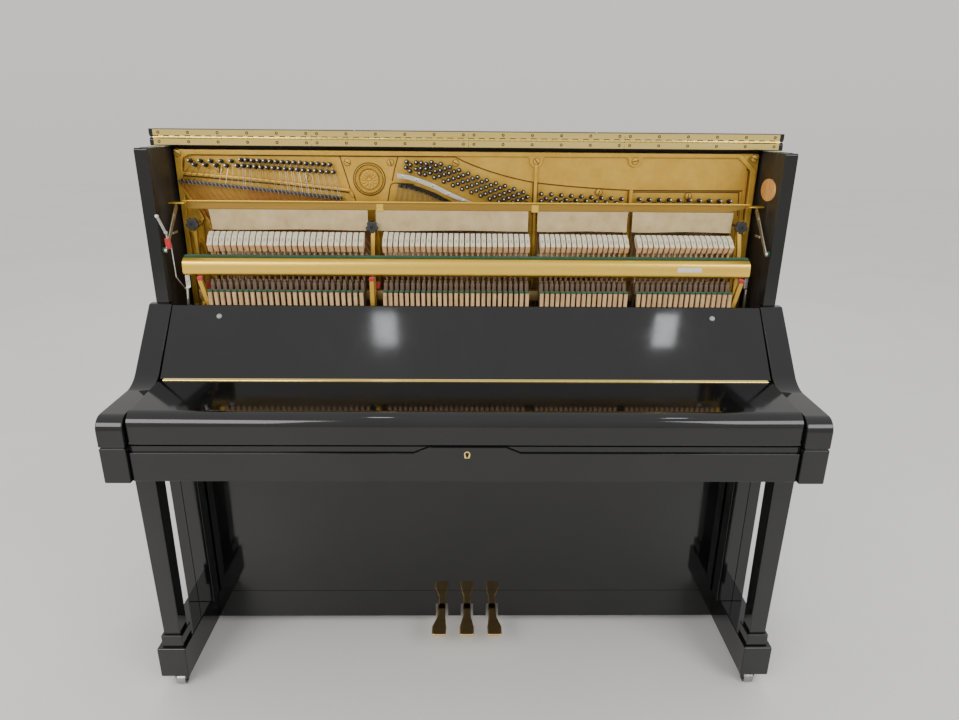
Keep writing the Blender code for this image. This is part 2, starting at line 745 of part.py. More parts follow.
def make_fallboard():
    half = BETWEEN_ARMS + GAP - FALL_SIDE_GAP
    tilt = math.atan2(FALL_HINGE_Z - FALL_NOSE_Z, FALL_HINGE_Y - FALL_FRONT_Y)
    back_y = FALL_HINGE_Y - FALL_EDGE * math.cos(tilt)
    back_z = FALL_HINGE_Z - FALL_EDGE * math.sin(tilt)
    lid = rounded(
        [
            (FALL_FRONT_Y, FALL_BOTTOM_Z, 0.003),
            (FALL_FRONT_Y + FALL_THICKNESS, FALL_BOTTOM_Z, 0.003),
            (FALL_FRONT_Y + FALL_THICKNESS, FALL_NOSE_Z - FALL_THICKNESS, 0.012),
            (back_y + FALL_THICKNESS * math.sin(tilt), back_z - FALL_THICKNESS, 0),
            (back_y, back_z, 0),
            (FALL_FRONT_Y, FALL_NOSE_Z, FALL_NOSE_RADIUS),
        ]
    )
    lid = prism("fallboard_lid", lid, "YZ", -half, half, "black_polyester")
    hang(lid, (0, FALL_HINGE_Y, FALL_HINGE_Z))

    def on_slope(along, down):
        """A point along the sloped panel's face from the hinge, and down into its thickness."""
        return (
            FALL_HINGE_Y + along * math.cos(FALL_SLOPE) + down * math.sin(FALL_SLOPE),
            FALL_HINGE_Z + along * math.sin(FALL_SLOPE) - down * math.cos(FALL_SLOPE),
        )

    leaf = 0.0015
    panel = rounded(
        [
            (*on_slope(FALL_EDGE + leaf + GAP, 0), 0),
            (*on_slope(FALL_EDGE + leaf + GAP, FALL_THICKNESS), 0),
            (*on_slope(FALL_SLOPE_LENGTH, FALL_THICKNESS), 0.004),
            (*on_slope(FALL_SLOPE_LENGTH, 0), 0.004),
        ]
    )
    prism("fallboard_panel", panel, "YZ", -half, half, "black_polyester")

    steps = 12
    start = -math.pi / 2 + FALL_SLOPE
    knuckle = [
        (
            FALL_HINGE_Y + FALL_HINGE_RADIUS * math.cos(start + 2 * math.pi * step / steps),
            FALL_HINGE_Z + FALL_HINGE_RADIUS * math.sin(start + 2 * math.pi * step / steps),
        )
        for step in range(2, steps)
    ]
    tail = [
        on_slope(0.0008, FALL_HINGE_RADIUS),
        on_slope(FALL_EDGE, FALL_HINGE_RADIUS),
        on_slope(FALL_EDGE, FALL_LEAF),
        on_slope(FALL_EDGE + leaf, FALL_LEAF),
        on_slope(FALL_EDGE + leaf, 0.001),
        on_slope(FALL_HINGE_RADIUS, 0.001),
    ]
    prism("fallboard_hinge", knuckle + tail, "YZ", -half + 0.010, half - 0.010, "brass")


# ================================================================ strung back
def make_back():
    posts = box(
        "back_frame",
        (-PLATE_HALF, SOUNDBOARD_BACK_Y + GAP, TOE_TOP + GAP),
        (PLATE_HALF, BACK_Y, PLATE_TOP),
        "matte_black",
    )
    windows = []
    for left, right in zip(POSTS_X, POSTS_X[1:]):
        windows.append(
            box_mesh(
                "window",
                (left + POST_WIDTH / 2, SOUNDBOARD_Y, TOE_TOP + BEAM_HEIGHT),
                (right - POST_WIDTH / 2, BACK_Y + 0.01, PLATE_TOP - BEAM_HEIGHT),
            )
        )
    boolean(posts, joined_mesh("back_windows", windows), "DIFFERENCE")
    box(
        "soundboard",
        (-PLATE_HALF, SOUNDBOARD_Y, PLATE_BOTTOM),
        (PLATE_HALF, SOUNDBOARD_BACK_Y, PIN_BLOCK_BOTTOM - GAP),
        "spruce",
    )
    box(
        "pin_block",
        (-PLATE_HALF, PLATE_BACK_Y + GAP, PIN_BLOCK_BOTTOM),
        (PLATE_HALF, SOUNDBOARD_BACK_Y, PLATE_TOP),
        "maple",
    )
    make_plate()
    make_bridges()


def make_plate():
    """The cast iron plate: a web over the pin block, a rim, and struts between four windows."""
    outline = rounded(
        [
            (-PLATE_HALF, PLATE_BOTTOM, PLATE_CORNER),
            (PLATE_HALF, PLATE_BOTTOM, PLATE_CORNER),
            (PLATE_HALF, PLATE_TOP, 0.010),
            (-PLATE_HALF, PLATE_TOP, 0.010),
        ]
    )
    plate = prism("iron_plate", outline, "XZ", PLATE_FRONT_Y, PLATE_BACK_Y, "gold_iron")
    lefts = (-PLATE_HALF + PLATE_RIM, *(x + STRUT / 2 for x in STRUTS_X))
    rights = (*(x - STRUT / 2 for x in STRUTS_X), PLATE_HALF - PLATE_RIM)
    windows = []
    for left, right in zip(lefts, rights):
        corners = [
            (left, PLATE_WINDOW_LOW, 0.020),
            (right, PLATE_WINDOW_LOW, 0.020),
            (right, PLATE_WINDOW_HIGH, 0.020),
            (left, PLATE_WINDOW_HIGH, 0.020),
        ]
        windows.append(
            prism_mesh(
                "window", rounded(corners), "XZ", PLATE_FRONT_Y - 0.01, PLATE_BACK_Y + 0.01
            )
        )
    boolean(plate, joined_mesh("plate_windows", windows), "DIFFERENCE")


def strip(points, width):
    """The outline of a bent strip of a given width along a line of points."""
    left = []
    right = []
    for index, point in enumerate(points):
        before = Vector(points[max(index - 1, 0)])
        after = Vector(points[min(index + 1, len(points) - 1)])
        along = (after - before).normalized()
        across_it = Vector((-along.y, along.x)) * width / 2
        left.append(tuple(Vector(point) + across_it))
        right.append(tuple(Vector(point) - across_it))
    return right + left[::-1]


def make_bridges():
    """The long treble bridge sweeps down to the tenor; the short bass bridge sits below it."""
    steps = 8
    x, z, along, drop = TREBLE_BRIDGE
    treble = []
    for step in range(steps + 1):
        share = step / steps
        treble.append((x - along * share, z - drop * math.sin(share * math.pi / 2)))
    prism(
        "treble_bridge",
        strip(treble, BRIDGE_WIDTH),
        "XZ",
        SOUNDBOARD_Y - BRIDGE_DEPTH,
        SOUNDBOARD_Y - GAP,
        "maple",
    )
    x, z, along, drop = BASS_BRIDGE
    bass = [(x + along * step / 3, z - drop * step / 3) for step in range(4)]
    prism(
        "bass_bridge",
        strip(bass, BRIDGE_WIDTH),
        "XZ",
        SOUNDBOARD_Y - BRIDGE_DEPTH,
        SOUNDBOARD_Y - GAP,
        "maple",
    )


# ================================================================ keyboard
def is_black(note):
    return (note - 1) % 12 in (1, 4, 6, 9, 11)


def key_edge(index):
    """The X of the left edge of a white key's space."""
    return (index - WHITE_KEYS / 2) * WHITE_PITCH


def black_centre(note):
    """The X of a black key, over the line between the white keys beside it."""
    whites = sum(not is_black(other) for other in range(1, note))
    return key_edge(whites)


def white_outline(note):
    """One white key from above: a full-width head, and a tail cut back beside the black keys."""
    index = sum(not is_black(other) for other in range(1, note))
    left = key_edge(index) + KEY_GAP / 2
    right = key_edge(index + 1) - KEY_GAP / 2
    cut = BLACK_WIDTH / 2 + BLACK_GAP
    tail_left = black_centre(note - 1) + cut if note > 1 and is_black(note - 1) else left
    tail_right = black_centre(note + 1) - cut if note < 88 and is_black(note + 1) else right
    step_y = WHITE_FRONT_Y + HEAD_LENGTH
    points = [(tail_left, KEY_BAR_Y)]
    if tail_left != left:
        points += [(tail_left, step_y), (left, step_y)]
    points += [(left, WHITE_FRONT_Y), (right, WHITE_FRONT_Y)]
    if tail_right != right:
        points += [(right, step_y), (tail_right, step_y)]
    return points + [(tail_right, KEY_BAR_Y)]


def white_run(name, notes):
    """A run of white keys, held together by the bar behind them."""
    points = []
    for note in notes:
        points += white_outline(note)
    points += [(points[-1][0], KEY_BACK_Y), (points[0][0], KEY_BACK_Y)]
    return prism(name, points, "XY", KEY_BOTTOM, WHITE_TOP, "white_key")


def black_profile(back_y):
    """One black key from the side: a raised block with a sloped front, and a low tail."""
    front = WHITE_FRONT_Y + HEAD_LENGTH + BLACK_GAP
    return [
        (front, KEY_BOTTOM),
        (back_y, KEY_BOTTOM),
        (back_y, WHITE_TOP - BLACK_TAIL_DROP),
        (front + BLACK_LENGTH, WHITE_TOP - BLACK_TAIL_DROP),
        (front + BLACK_LENGTH, BLACK_TOP),
        (front + BLACK_SLOPE, BLACK_TOP),
        (front, WHITE_TOP - BLACK_TAIL_DROP / 2),
    ]


def black_group(name, notes):
    """A run of black keys on one low bar that passes under the white keys."""
    half = BLACK_WIDTH / 2
    centres = [black_centre(note) for note in notes]
    keys = [
        prism_mesh("black", black_profile(BLACK_BAR[1] + 0.010), "YZ", x - half, x + half)
        for x in centres
    ]
    bar = box(
        name,
        (centres[0] - half, BLACK_BAR[0], BLACK_BAR_LOW),
        (centres[-1] + half, BLACK_BAR[1], KEY_BOTTOM - 0.0015),
        "black_key",
    )
    posts = [
        box_mesh(
            "post",
            (x - half / 2, BLACK_BAR[0] + 0.004, BLACK_BAR_LOW + 0.002),
            (x + half / 2, BLACK_BAR[1] - 0.004, KEY_BOTTOM + 0.004),
        )
        for x in centres
    ]
    boolean(bar, joined_mesh("black_posts", posts), "UNION")
    boolean(bar, joined_mesh("black_tops", keys), "UNION")


def make_keyboard():
    blacks = [note for note in range(1, 89) if is_black(note)]
    whites = [note for note in range(1, 89) if not is_black(note)]
    white_run("white_keys_bass", [note for note in whites if note < SAMPLE_NOTE])
    white_run("white_keys_treble", [note for note in whites if note > SAMPLE_NOTE])
    black_group("black_keys_bass", [note for note in blacks if note < SAMPLE_NOTE])
    black_group("black_keys_treble", [note for note in blacks if note > SAMPLE_NOTE + 1])
    key = white_run("key_middle_c", [SAMPLE_NOTE])
    hang(key, (0, BALANCE_Y, KEY_BOTTOM))
    x = black_centre(SAMPLE_NOTE + 1)
    half = BLACK_WIDTH / 2
    key = prism(
        "key_c_sharp", black_profile(KEY_BAR_Y - 0.003), "YZ", x - half, x + half, "black_key"
    )
    hang(key, (0, BALANCE_Y, KEY_BOTTOM))
    make_key_frame()


def make_key_frame():
    """Front, balance and back rails on the key bed, tied by a stile at each end."""
    half = WHITE_KEYS / 2 * WHITE_PITCH + KEY_FRAME_END
    frame = box(
        "key_frame",
        (-half, WHITE_FRONT_Y + 0.004, BED_TOP + GAP),
        (half, KEY_BACK_Y - 0.003, KEY_FRAME_TOP),
        "maple",
    )
    near = WHITE_FRONT_Y + 0.036
    spans = ((near, BALANCE_Y - BALANCE_RAIL / 2), (BALANCE_Y + BALANCE_RAIL / 2, KEY_BAR_Y - 0.005))
    windows = [
        box_mesh(
            "window",
            (-half + KEY_FRAME_STILE, low, BED_TOP),
            (half - KEY_FRAME_STILE, high, KEY_FRAME_TOP + 0.01),
        )
        for low, high in spans
    ]
    boolean(frame, joined_mesh("frame_windows", windows), "DIFFERENCE")


# ================================================================ action
def hammer_places():
    """The X of each of the 88 hammers, in four groups."""
    places = []
    for low, high, count in HAMMER_GROUPS:
        places += [low + (high - low) * index / (count - 1) for index in range(count)]
    return places


def hammer_profile():
    """One hammer from the side: butt, shank and head."""
    y, z = HAMMER_PIVOT
    half = SHANK / 2
    return [
        (y - 0.006, z - 0.008),
        (y + 0.006, z - 0.008),
        (y + half, z + 0.020),
        (y + half, HEAD_Z[0]),
        (HEAD_Y[1] - 0.006, HEAD_Z[0] + 0.004),
        (HEAD_Y[1], (HEAD_Z[0] + HEAD_Z[1]) / 2),
        (HEAD_Y[1] - 0.006, HEAD_Z[1] - 0.004),
        (HEAD_Y[0] + 0.006, HEAD_Z[1]),
        (HEAD_Y[0], HEAD_Z[0] + 0.008),
        (y - half, HEAD_Z[0]),
        (y - half, z + 0.020),
    ]


def make_hammers():
    places = hammer_places()
    sample = places.pop(SAMPLE_NOTE - 1)
    half = HEAD_WIDTH / 2
    hammers = [prism_mesh("hammer", hammer_profile(), "YZ", x - half, x + half) for x in places]
    y, z = HAMMER_PIVOT
    spans = ((places[0], sample - HEAD_WIDTH), (sample + HEAD_WIDTH, places[-1]))
    bar = box(
        "hammers",
        (places[0] - half, y - 0.004, HAMMER_BAR_Z[0] + 0.002),
        (places[-1] + half, y + 0.004, HAMMER_BAR_Z[1] - 0.001),
        "hammer_felt",
    )
    gap = box_mesh(
        "sample_gap",
        (spans[0][1], y - 0.020, HAMMER_BAR_Z[0] - 0.010),
        (spans[1][0], y + 0.020, HAMMER_BAR_Z[1] + 0.010),
    )
    bridge = box_mesh(
        "sample_bridge",
        (spans[0][1] - 0.006, y - 0.004, HAMMER_BAR_Z[0] - 0.012),
        (spans[1][0] + 0.006, y + 0.004, HAMMER_BAR_Z[0] - 0.004),
    )
    boolean(bar, joined_mesh("hammer_row", hammers), "UNION")
    hang(bar, (0, y, z))
    boolean(bar, gap, "DIFFERENCE")
    boolean(bar, bridge, "UNION")
    boolean(
        bar,
        joined_mesh(
            "bridge_posts",
            [
                box_mesh(
                    "post",
                    (x - 0.003, y - 0.003, HAMMER_BAR_Z[0] - 0.010),
                    (x + 0.003, y + 0.003, HAMMER_BAR_Z[0] + 0.005),
                )
                for x in (spans[0][1] - 0.0035, spans[1][0] + 0.0035)
            ],
        ),
        "UNION",
    )
    hammer = prism(
        "hammer_middle_c", hammer_profile(), "YZ", sample - half, sample + half, "hammer_felt"
    )
    hang(hammer, (sample, y, z))


def make_rails():
    y, z = HAMMER_PIVOT
    corners = [
        (HAMMER_RAIL_Y[0], HAMMER_RAIL_Z[0], 0.012),
        (HAMMER_RAIL_Y[1], HAMMER_RAIL_Z[0], 0.004),
        (HAMMER_RAIL_Y[1], HAMMER_RAIL_Z[1], 0.004),
        (HAMMER_RAIL_Y[0], HAMMER_RAIL_Z[1], 0.012),
    ]
    rail = prism(
        "hammer_rail", rounded(corners), "YZ", -HAMMER_RAIL_HALF, HAMMER_RAIL_HALF, "gold_rail"
    )
    hang(rail, (0, y, z))
    box(
        "action_rail",
        (-ACTION_RAIL_HALF, ACTION_RAIL_Y[0], ACTION_RAIL_Z[0]),
        (ACTION_RAIL_HALF, ACTION_RAIL_Y[1], ACTION_RAIL_Z[1]),
        "maple",
        edge=0.001,
    )


def make_dampers():
    """The dampers' felt heads on their wires, on one bar; the top notes have none."""
    y, z = DAMPER_PIVOT
    places = hammer_places()[:DAMPER_NOTES]
    half = DAMPER_WIDTH / 2
    felt = DAMPER_FACE_Y - DAMPER_FELT
    low = DAMPER_Z - DAMPER_HEAD
    profile = [
        (y - 0.002, DAMPER_BAR_Z[0] + 0.001),
        (y + 0.002, DAMPER_BAR_Z[0] + 0.001),
        (y + 0.003, low - 0.010),
        (felt, low - 0.005),
        (DAMPER_FACE_Y, low),
        (DAMPER_FACE_Y, DAMPER_Z),
        (felt, DAMPER_Z),
        (felt - DAMPER_WOOD, DAMPER_Z - DAMPER_HEAD / 2),
        (y - 0.001, low),
    ]
    heads = [prism_mesh("damper", profile, "YZ", x - half, x + half) for x in places]
    bar = box(
        "dampers",
        (places[0] - half, y - 0.003, DAMPER_BAR_Z[0]),
        (places[-1] + half, y + 0.003, DAMPER_BAR_Z[1]),
        "maple",
    )
    boolean(bar, joined_mesh("damper_row", heads), "UNION")
    hang(bar, (0, y, z))


def make_brackets():
    """Cast brackets on the key bed: a foot, a column, a jog behind the rails and a lug at the top."""
    foot = (KEY_BACK_Y + 0.005, BED_BACK_Y - 0.005)
    knee = BED_TOP + BRACKET_FOOT + 0.008
    near, far = BRACKET_COLUMN_Y
    inner, outer = BRACKET_BACK_Y
    rise = outer - near
    outline = [
        (foot[0], BED_TOP + GAP),
        (foot[1], BED_TOP + GAP),
        (foot[1], BED_TOP + BRACKET_FOOT),
        (far, knee),
        (far, BRACKET_JOG_Z),
        (outer, BRACKET_JOG_Z + rise),
        (outer, BRACKET_TOP),
        (far, BRACKET_TOP),
        (far, BRACKET_TOP - BRACKET_LUG),
        (inner, BRACKET_TOP - BRACKET_LUG - 0.005),
        (inner, BRACKET_JOG_Z + rise + 0.004),
        (near, BRACKET_JOG_Z + 0.008),
        (near, knee),
        (foot[0], BED_TOP + BRACKET_FOOT),
    ]
    for name, (x, width) in BRACKETS.items():
        prism("action_bracket_" + name, outline, "YZ", x - width / 2, x + width / 2, "gold_iron")


def make_mute():
    """The practice rail on two swinging arms, with its row of felt flaps."""
    y, z = MUTE_PIVOT
    rail = box(
        "mute_rail",
        (-MUTE_RAIL_HALF, MUTE_RAIL_Y[0], MUTE_RAIL_Z[0]),
        (MUTE_RAIL_HALF, MUTE_RAIL_Y[1], MUTE_RAIL_Z[1]),
        "gold_rail",
    )
    end = ((MUTE_RAIL_Y[0] + MUTE_RAIL_Y[1]) / 2, (MUTE_RAIL_Z[0] + MUTE_RAIL_Z[1]) / 2)
    arm = strip([(y, z), end], MUTE_ARM)
    low = MUTE_RAIL_HALF - MUTE_ARM_THICKNESS / 2
    arms = [
        prism_mesh("mute_arm", arm, "YZ", *across(sign, low, low + MUTE_ARM_THICKNESS))
        for _, sign in sides()
    ]
    boolean(rail, joined_mesh("mute_arms", arms), "UNION")
    hang(rail, (0, y, z))
    middle = sum(MUTE_RAIL_Y) / 2
    high = MUTE_RAIL_Z[0] - GAP
    root_z = high - 0.006
    outline = []
    for low_x, high_x in MUTE_FLAPS:
        outline += [(low_x, root_z), (low_x, MUTE_FELT_Z), (high_x, MUTE_FELT_Z), (high_x, root_z)]
    outline += [(MUTE_FLAPS[-1][1], high), (MUTE_FLAPS[0][0], high)]
    felt = prism(
        "mute_felt",
        outline,
        "XZ",
        middle - MUTE_FELT_THICKNESS / 2,
        middle + MUTE_FELT_THICKNESS / 2,
        "mute_felt",
    )
    hang(felt, (0, y, z))


# ================================================================ pedals
def pedal_outline(x, flare):
    """A pedal from above: a broad rounded toe, a neck, and a bar back to its pivot."""
    tip = PEDAL_TIP_Y
    wide = PEDAL_TIP_WIDTH / 2
    neck = PEDAL_NECK / 2
    bar = PEDAL_BAR / 2
    neck_y = tip + PEDAL_NECK_SETBACK
    return rounded(
        [
            (x + flare - wide, tip, 0.012),
            (x + flare + wide, tip, 0.012),
            (x + flare + wide * 0.95, tip + PEDAL_TOE, 0.020),
            (x + neck, neck_y, 0.020),
            (x + bar, PANEL_FRONT_Y + 0.010, 0.0),
            (x + bar, PEDAL_PIVOT_Y, 0.0),
            (x - bar, PEDAL_PIVOT_Y, 0.0),
            (x - bar, PANEL_FRONT_Y + 0.010, 0.0),
            (x - neck, neck_y, 0.020),
            (x + flare - wide * 0.95, tip + PEDAL_TOE, 0.020),
        ]
    )


def make_pedals():
    for name, index in (("left", -1), ("middle", 0), ("right", 1)):
        x = index * PEDAL_PITCH
        pedal = prism(
            "pedal_" + name,
            pedal_outline(x, index * PEDAL_FLARE),
            "XY",
            PEDAL_Z - PEDAL_THICKNESS / 2,
            PEDAL_Z + PEDAL_THICKNESS / 2,
            "brass",
        )
        hang(pedal, (x, PEDAL_PIVOT_Y, PEDAL_Z))


def make_trapwork():
    """Wooden levers on the bottom board that carry each pedal's movement to the bass end."""
    ends = {
        "soft": (-PEDAL_PITCH, DOWEL_X - 0.007),
        "damper": (PEDAL_PITCH, DOWEL_X - 0.007),
        "mute": (0.0, MUTE_TRAP_END_X),
    }
    for name, (near, far) in ends.items():
        y = TRAP_Y[name]
        lever = box(
            "trap_lever_" + name,
            (max(far, -SIDE_IN + 0.002), y - TRAP_BAR / 2, TRAP_LOW),
            (near + 0.008, y + TRAP_BAR / 2, TRAP_TOP),
            "maple",
        )
        hang(lever, (near - TRAP_SHORT_ARM, y, TRAP_LOW))
    for name in ("soft", "damper"):
        y = TRAP_Y[name]
        rod = rod_mesh(
            "dowel", DOWEL_RADIUS, (DOWEL_X, y, TRAP_TOP + GAP), (DOWEL_X, y, DOWEL_TOP), sides=10
        )
        piece("dowel_" + name, rod, "maple")


# ================================================================ the whole piano
clear_scene()
PIANO = new_collection("upright_piano")
CUTTERS = new_collection("upright_piano_cutters")

for side_name, side_sign in sides():
    make_side_panel(side_name, side_sign)
    make_arm(side_name, side_sign)
    make_leg(side_name, side_sign)
    make_toe_rail(side_name, side_sign)
    make_caster(
        "front",
        side_name,
        side_sign * (TOE_OUT - CASTER_X_INSET),
        FRONT_Y + TOE_SETBACK + CASTER_SETBACK,
        FRONT_WHEEL_RADIUS,
        TOE_BOTTOM - GAP,
    )
    make_caster(
        "rear", side_name, side_sign * REAR_CASTER_X, BACK_Y - REAR_CASTER_SETBACK, REAR_WHEEL_RADIUS, TOE_TOP
    )
make_key_bed()
make_key_slip()
make_bottom()
make_lid()
make_fallboard()
make_back()
make_keyboard()
make_hammers()
make_rails()
make_dampers()
make_brackets()
make_mute()
make_pedals()
make_trapwork()
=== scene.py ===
import math
import random

import bmesh
import bpy
from mathutils import Matrix, Vector


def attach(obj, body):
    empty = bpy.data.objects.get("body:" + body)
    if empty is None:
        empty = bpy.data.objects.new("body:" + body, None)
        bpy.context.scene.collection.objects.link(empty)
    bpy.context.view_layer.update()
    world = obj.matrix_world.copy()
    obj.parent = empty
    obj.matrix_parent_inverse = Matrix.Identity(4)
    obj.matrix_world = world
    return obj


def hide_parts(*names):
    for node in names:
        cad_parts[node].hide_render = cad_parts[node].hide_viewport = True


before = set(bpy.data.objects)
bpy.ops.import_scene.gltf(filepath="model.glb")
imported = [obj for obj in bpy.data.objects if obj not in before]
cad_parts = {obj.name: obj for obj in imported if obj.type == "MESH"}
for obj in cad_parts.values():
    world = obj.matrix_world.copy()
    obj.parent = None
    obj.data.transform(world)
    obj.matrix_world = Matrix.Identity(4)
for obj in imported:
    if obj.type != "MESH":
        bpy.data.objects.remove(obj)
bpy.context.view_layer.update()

draw = random.Random(88)

# ---------------------------------------------------------------- side panels
# Two tall boards of lacquered chipboard that carry the lid, with a stile glued inside each at the front.
# Outside they are polished black polyester; the inner face is a thin matte black stain, worn by hands.


def node(tree, kind, choices=(), **values):
    """Adds a shader node. A value is a number or another node's socket; _0 is the socket's number."""
    made = tree.nodes.new("ShaderNode" + kind)
    for name, choice in dict(choices).items():
        setattr(made, name, choice)
    for name, value in values.items():
        socket = made.inputs[int(name[1:])] if name[0] == "_" else made.inputs[name.replace("_", " ")]
        if isinstance(value, bpy.types.NodeSocket):
            tree.links.new(value, socket)
        else:
            socket.default_value = value
    return made


def effect(name):
    """An empty node group that takes a place and a scale, and gives a colour mask and a height."""
    tree = bpy.data.node_groups.new(name, "ShaderNodeTree")
    tree.interface.new_socket(name="Place", in_out="INPUT", socket_type="NodeSocketVector")
    tree.interface.new_socket(name="Scale", in_out="INPUT", socket_type="NodeSocketFloat")
    tree.interface.new_socket(name="Mask", in_out="OUTPUT", socket_type="NodeSocketFloat")
    tree.interface.new_socket(name="Height", in_out="OUTPUT", socket_type="NodeSocketFloat")
    entry = node(tree, "VectorMath", {"operation": "SCALE"})
    source = tree.nodes.new("NodeGroupInput")
    tree.links.new(source.outputs["Place"], entry.inputs[0])
    tree.links.new(source.outputs["Scale"], entry.inputs["Scale"])
    return tree, entry.outputs[0]


def give(tree, mask, height):
    """Joins a group's mask and height to its outputs."""
    end = tree.nodes.new("NodeGroupOutput")
    tree.links.new(mask, end.inputs["Mask"])
    tree.links.new(height, end.inputs["Height"])
    return tree


def smudges():
    """Faint wiped streaks and settled dust on lacquer, over a very slight orange peel."""
    tree, place = effect("wiped_lacquer")
    wide = node(tree, "TexNoise", Vector=place, Scale=1.0, Detail=5.0, Roughness=0.62, Distortion=0.8)
    fine = node(tree, "TexNoise", Vector=place, Scale=46.0, Detail=3.0, Roughness=0.7)
    dust = node(tree, "MapRange", Value=wide.outputs[0], _1=0.42, _2=0.72)
    mixed = node(tree, "Math", {"operation": "MULTIPLY"}, _0=dust.outputs[0], _1=fine.outputs[0])
    return give(tree, mixed.outputs[0], fine.outputs[0])


def cast_skin():
    """The fine sandy skin of a cast and sprayed surface, with soft uneven patches in the paint."""
    tree, place = effect("cast_skin")
    patches = node(tree, "TexNoise", Vector=place, Scale=0.025, Detail=4.0, Roughness=0.6)
    sand = node(tree, "TexNoise", Vector=place, Scale=1.0, Detail=4.0, Roughness=0.65)
    pits = node(tree, "TexVoronoi", Vector=place, Scale=0.7)
    speck = node(tree, "MapRange", Value=sand.outputs[0], _1=0.30, _2=0.75)
    mask = node(tree, "Math", {"operation": "MULTIPLY_ADD"}, _0=speck.outputs[0], _1=0.45, _2=0.0)
    total = node(tree, "Math", {"operation": "ADD"}, _0=mask.outputs[0], _1=patches.outputs[0])
    shifted = node(tree, "MapRange", Value=total.outputs[0], _1=0.35, _2=1.0)
    height = node(tree, "Math", {"operation": "ADD"}, _0=sand.outputs[0], _1=pits.outputs["Distance"])
    return give(tree, shifted.outputs[0], height.outputs[0])


def wood_grain():
    """Fibres and year rings; the place is squeezed along the grain by the material."""
    tree, place = effect("wood_grain")
    rings = node(tree, "TexNoise", Vector=place, Scale=0.35, Detail=3.0, Roughness=0.5, Distortion=0.6)
    turned = node(tree, "Math", {"operation": "MULTIPLY"}, _0=rings.outputs[0], _1=34.0)
    bands = node(tree, "Math", {"operation": "SINE"}, _0=turned.outputs[0])
    fibre = node(tree, "TexNoise", Vector=place, Scale=3.5, Detail=6.0, Roughness=0.7)
    mixed = node(
        tree, "Math", {"operation": "MULTIPLY_ADD"}, _0=bands.outputs[0], _1=0.18, _2=fibre.outputs[0],
    )
    mask = node(tree, "MapRange", Value=mixed.outputs[0], _1=0.25, _2=0.78)
    return give(tree, mask.outputs[0], mixed.outputs[0])


def felt_fibre():
    """Pressed wool: a matted web of hairs, with paler flecks and soft hollows."""
    tree, place = effect("felt_fibre")
    hairs = node(tree, "TexNoise", Vector=place, Scale=1.0, Detail=8.0, Roughness=0.75, Distortion=1.5)
    flecks = node(tree, "TexVoronoi", {"feature": "SMOOTH_F1"}, Vector=place, Scale=0.55, Smoothness=0.4)
    soft = node(tree, "TexNoise", Vector=place, Scale=0.06, Detail=3.0)
    mixed = node(tree, "Math", {"operation": "ADD"}, _0=hairs.outputs[0], _1=soft.outputs[0])
    mask = node(tree, "MapRange", Value=mixed.outputs[0], _1=0.65, _2=1.35)
    height = node(
        tree, "Math", {"operation": "SUBTRACT"}, _0=hairs.outputs[0], _1=flecks.outputs["Distance"],
    )
    return give(tree, mask.outputs[0], height.outputs[0])


def brush_lines():
    """Fine lines that a brush or a polishing belt leaves, with tarnish gathered in soft patches."""
    tree, place = effect("brush_lines")
    lines = node(tree, "TexNoise", Vector=place, Scale=1.0, Detail=5.0, Roughness=0.6)
    cloud = node(tree, "TexNoise", Vector=place, Scale=0.03, Detail=6.0, Roughness=0.65)
    mixed = node(
        tree, "Math", {"operation": "MULTIPLY_ADD"}, _0=lines.outputs[0], _1=0.5, _2=cloud.outputs[0],
    )
    mask = node(tree, "MapRange", Value=mixed.outputs[0], _1=0.55, _2=1.0)
    return give(tree, mask.outputs[0], lines.outputs[0])


WIPED = smudges()
CAST = cast_skin()
GRAIN = wood_grain()
FELT = felt_fibre()
BRUSHED = brush_lines()


def finish(name, skin, colour, second, rough, scale, along=(1, 1, 1), bump=0.1, depth=0.0004, **shader):
    """A surface whose colour and roughness run between two values by the skin's mask, with its bump."""
    made = bpy.data.materials.new(name)
    made.use_nodes = True
    tree = made.node_tree
    surface = tree.nodes["Principled BSDF"]
    for socket, value in shader.items():
        surface.inputs[socket.replace("_", " ")].default_value = value
    place = node(tree, "TexCoord").outputs["Object"]
    squeezed = node(tree, "Mapping", Vector=place, Scale=along)
    pattern = tree.nodes.new("ShaderNodeGroup")
    pattern.node_tree = skin
    tree.links.new(squeezed.outputs[0], pattern.inputs["Place"])
    pattern.inputs["Scale"].default_value = scale
    mask, height = pattern.outputs
    mixed = node(tree, "Mix", {"data_type": "RGBA"}, _0=mask, _6=(*colour, 1), _7=(*second, 1))
    tree.links.new(mixed.outputs[2], surface.inputs["Base Color"])
    shine = node(tree, "MapRange", Value=mask, _3=rough[0], _4=rough[1])
    tree.links.new(shine.outputs[0], surface.inputs["Roughness"])
    relief = node(tree, "Bump", Strength=bump, Distance=depth, Height=height)
    tree.links.new(relief.outputs[0], surface.inputs["Normal"])
    return made


def place(plane, u, v, w):
    """A point from two measures in a plane and one across it."""
    return {"YZ": (w, u, v), "XZ": (u, w, v), "XY": (u, v, w)}[plane]


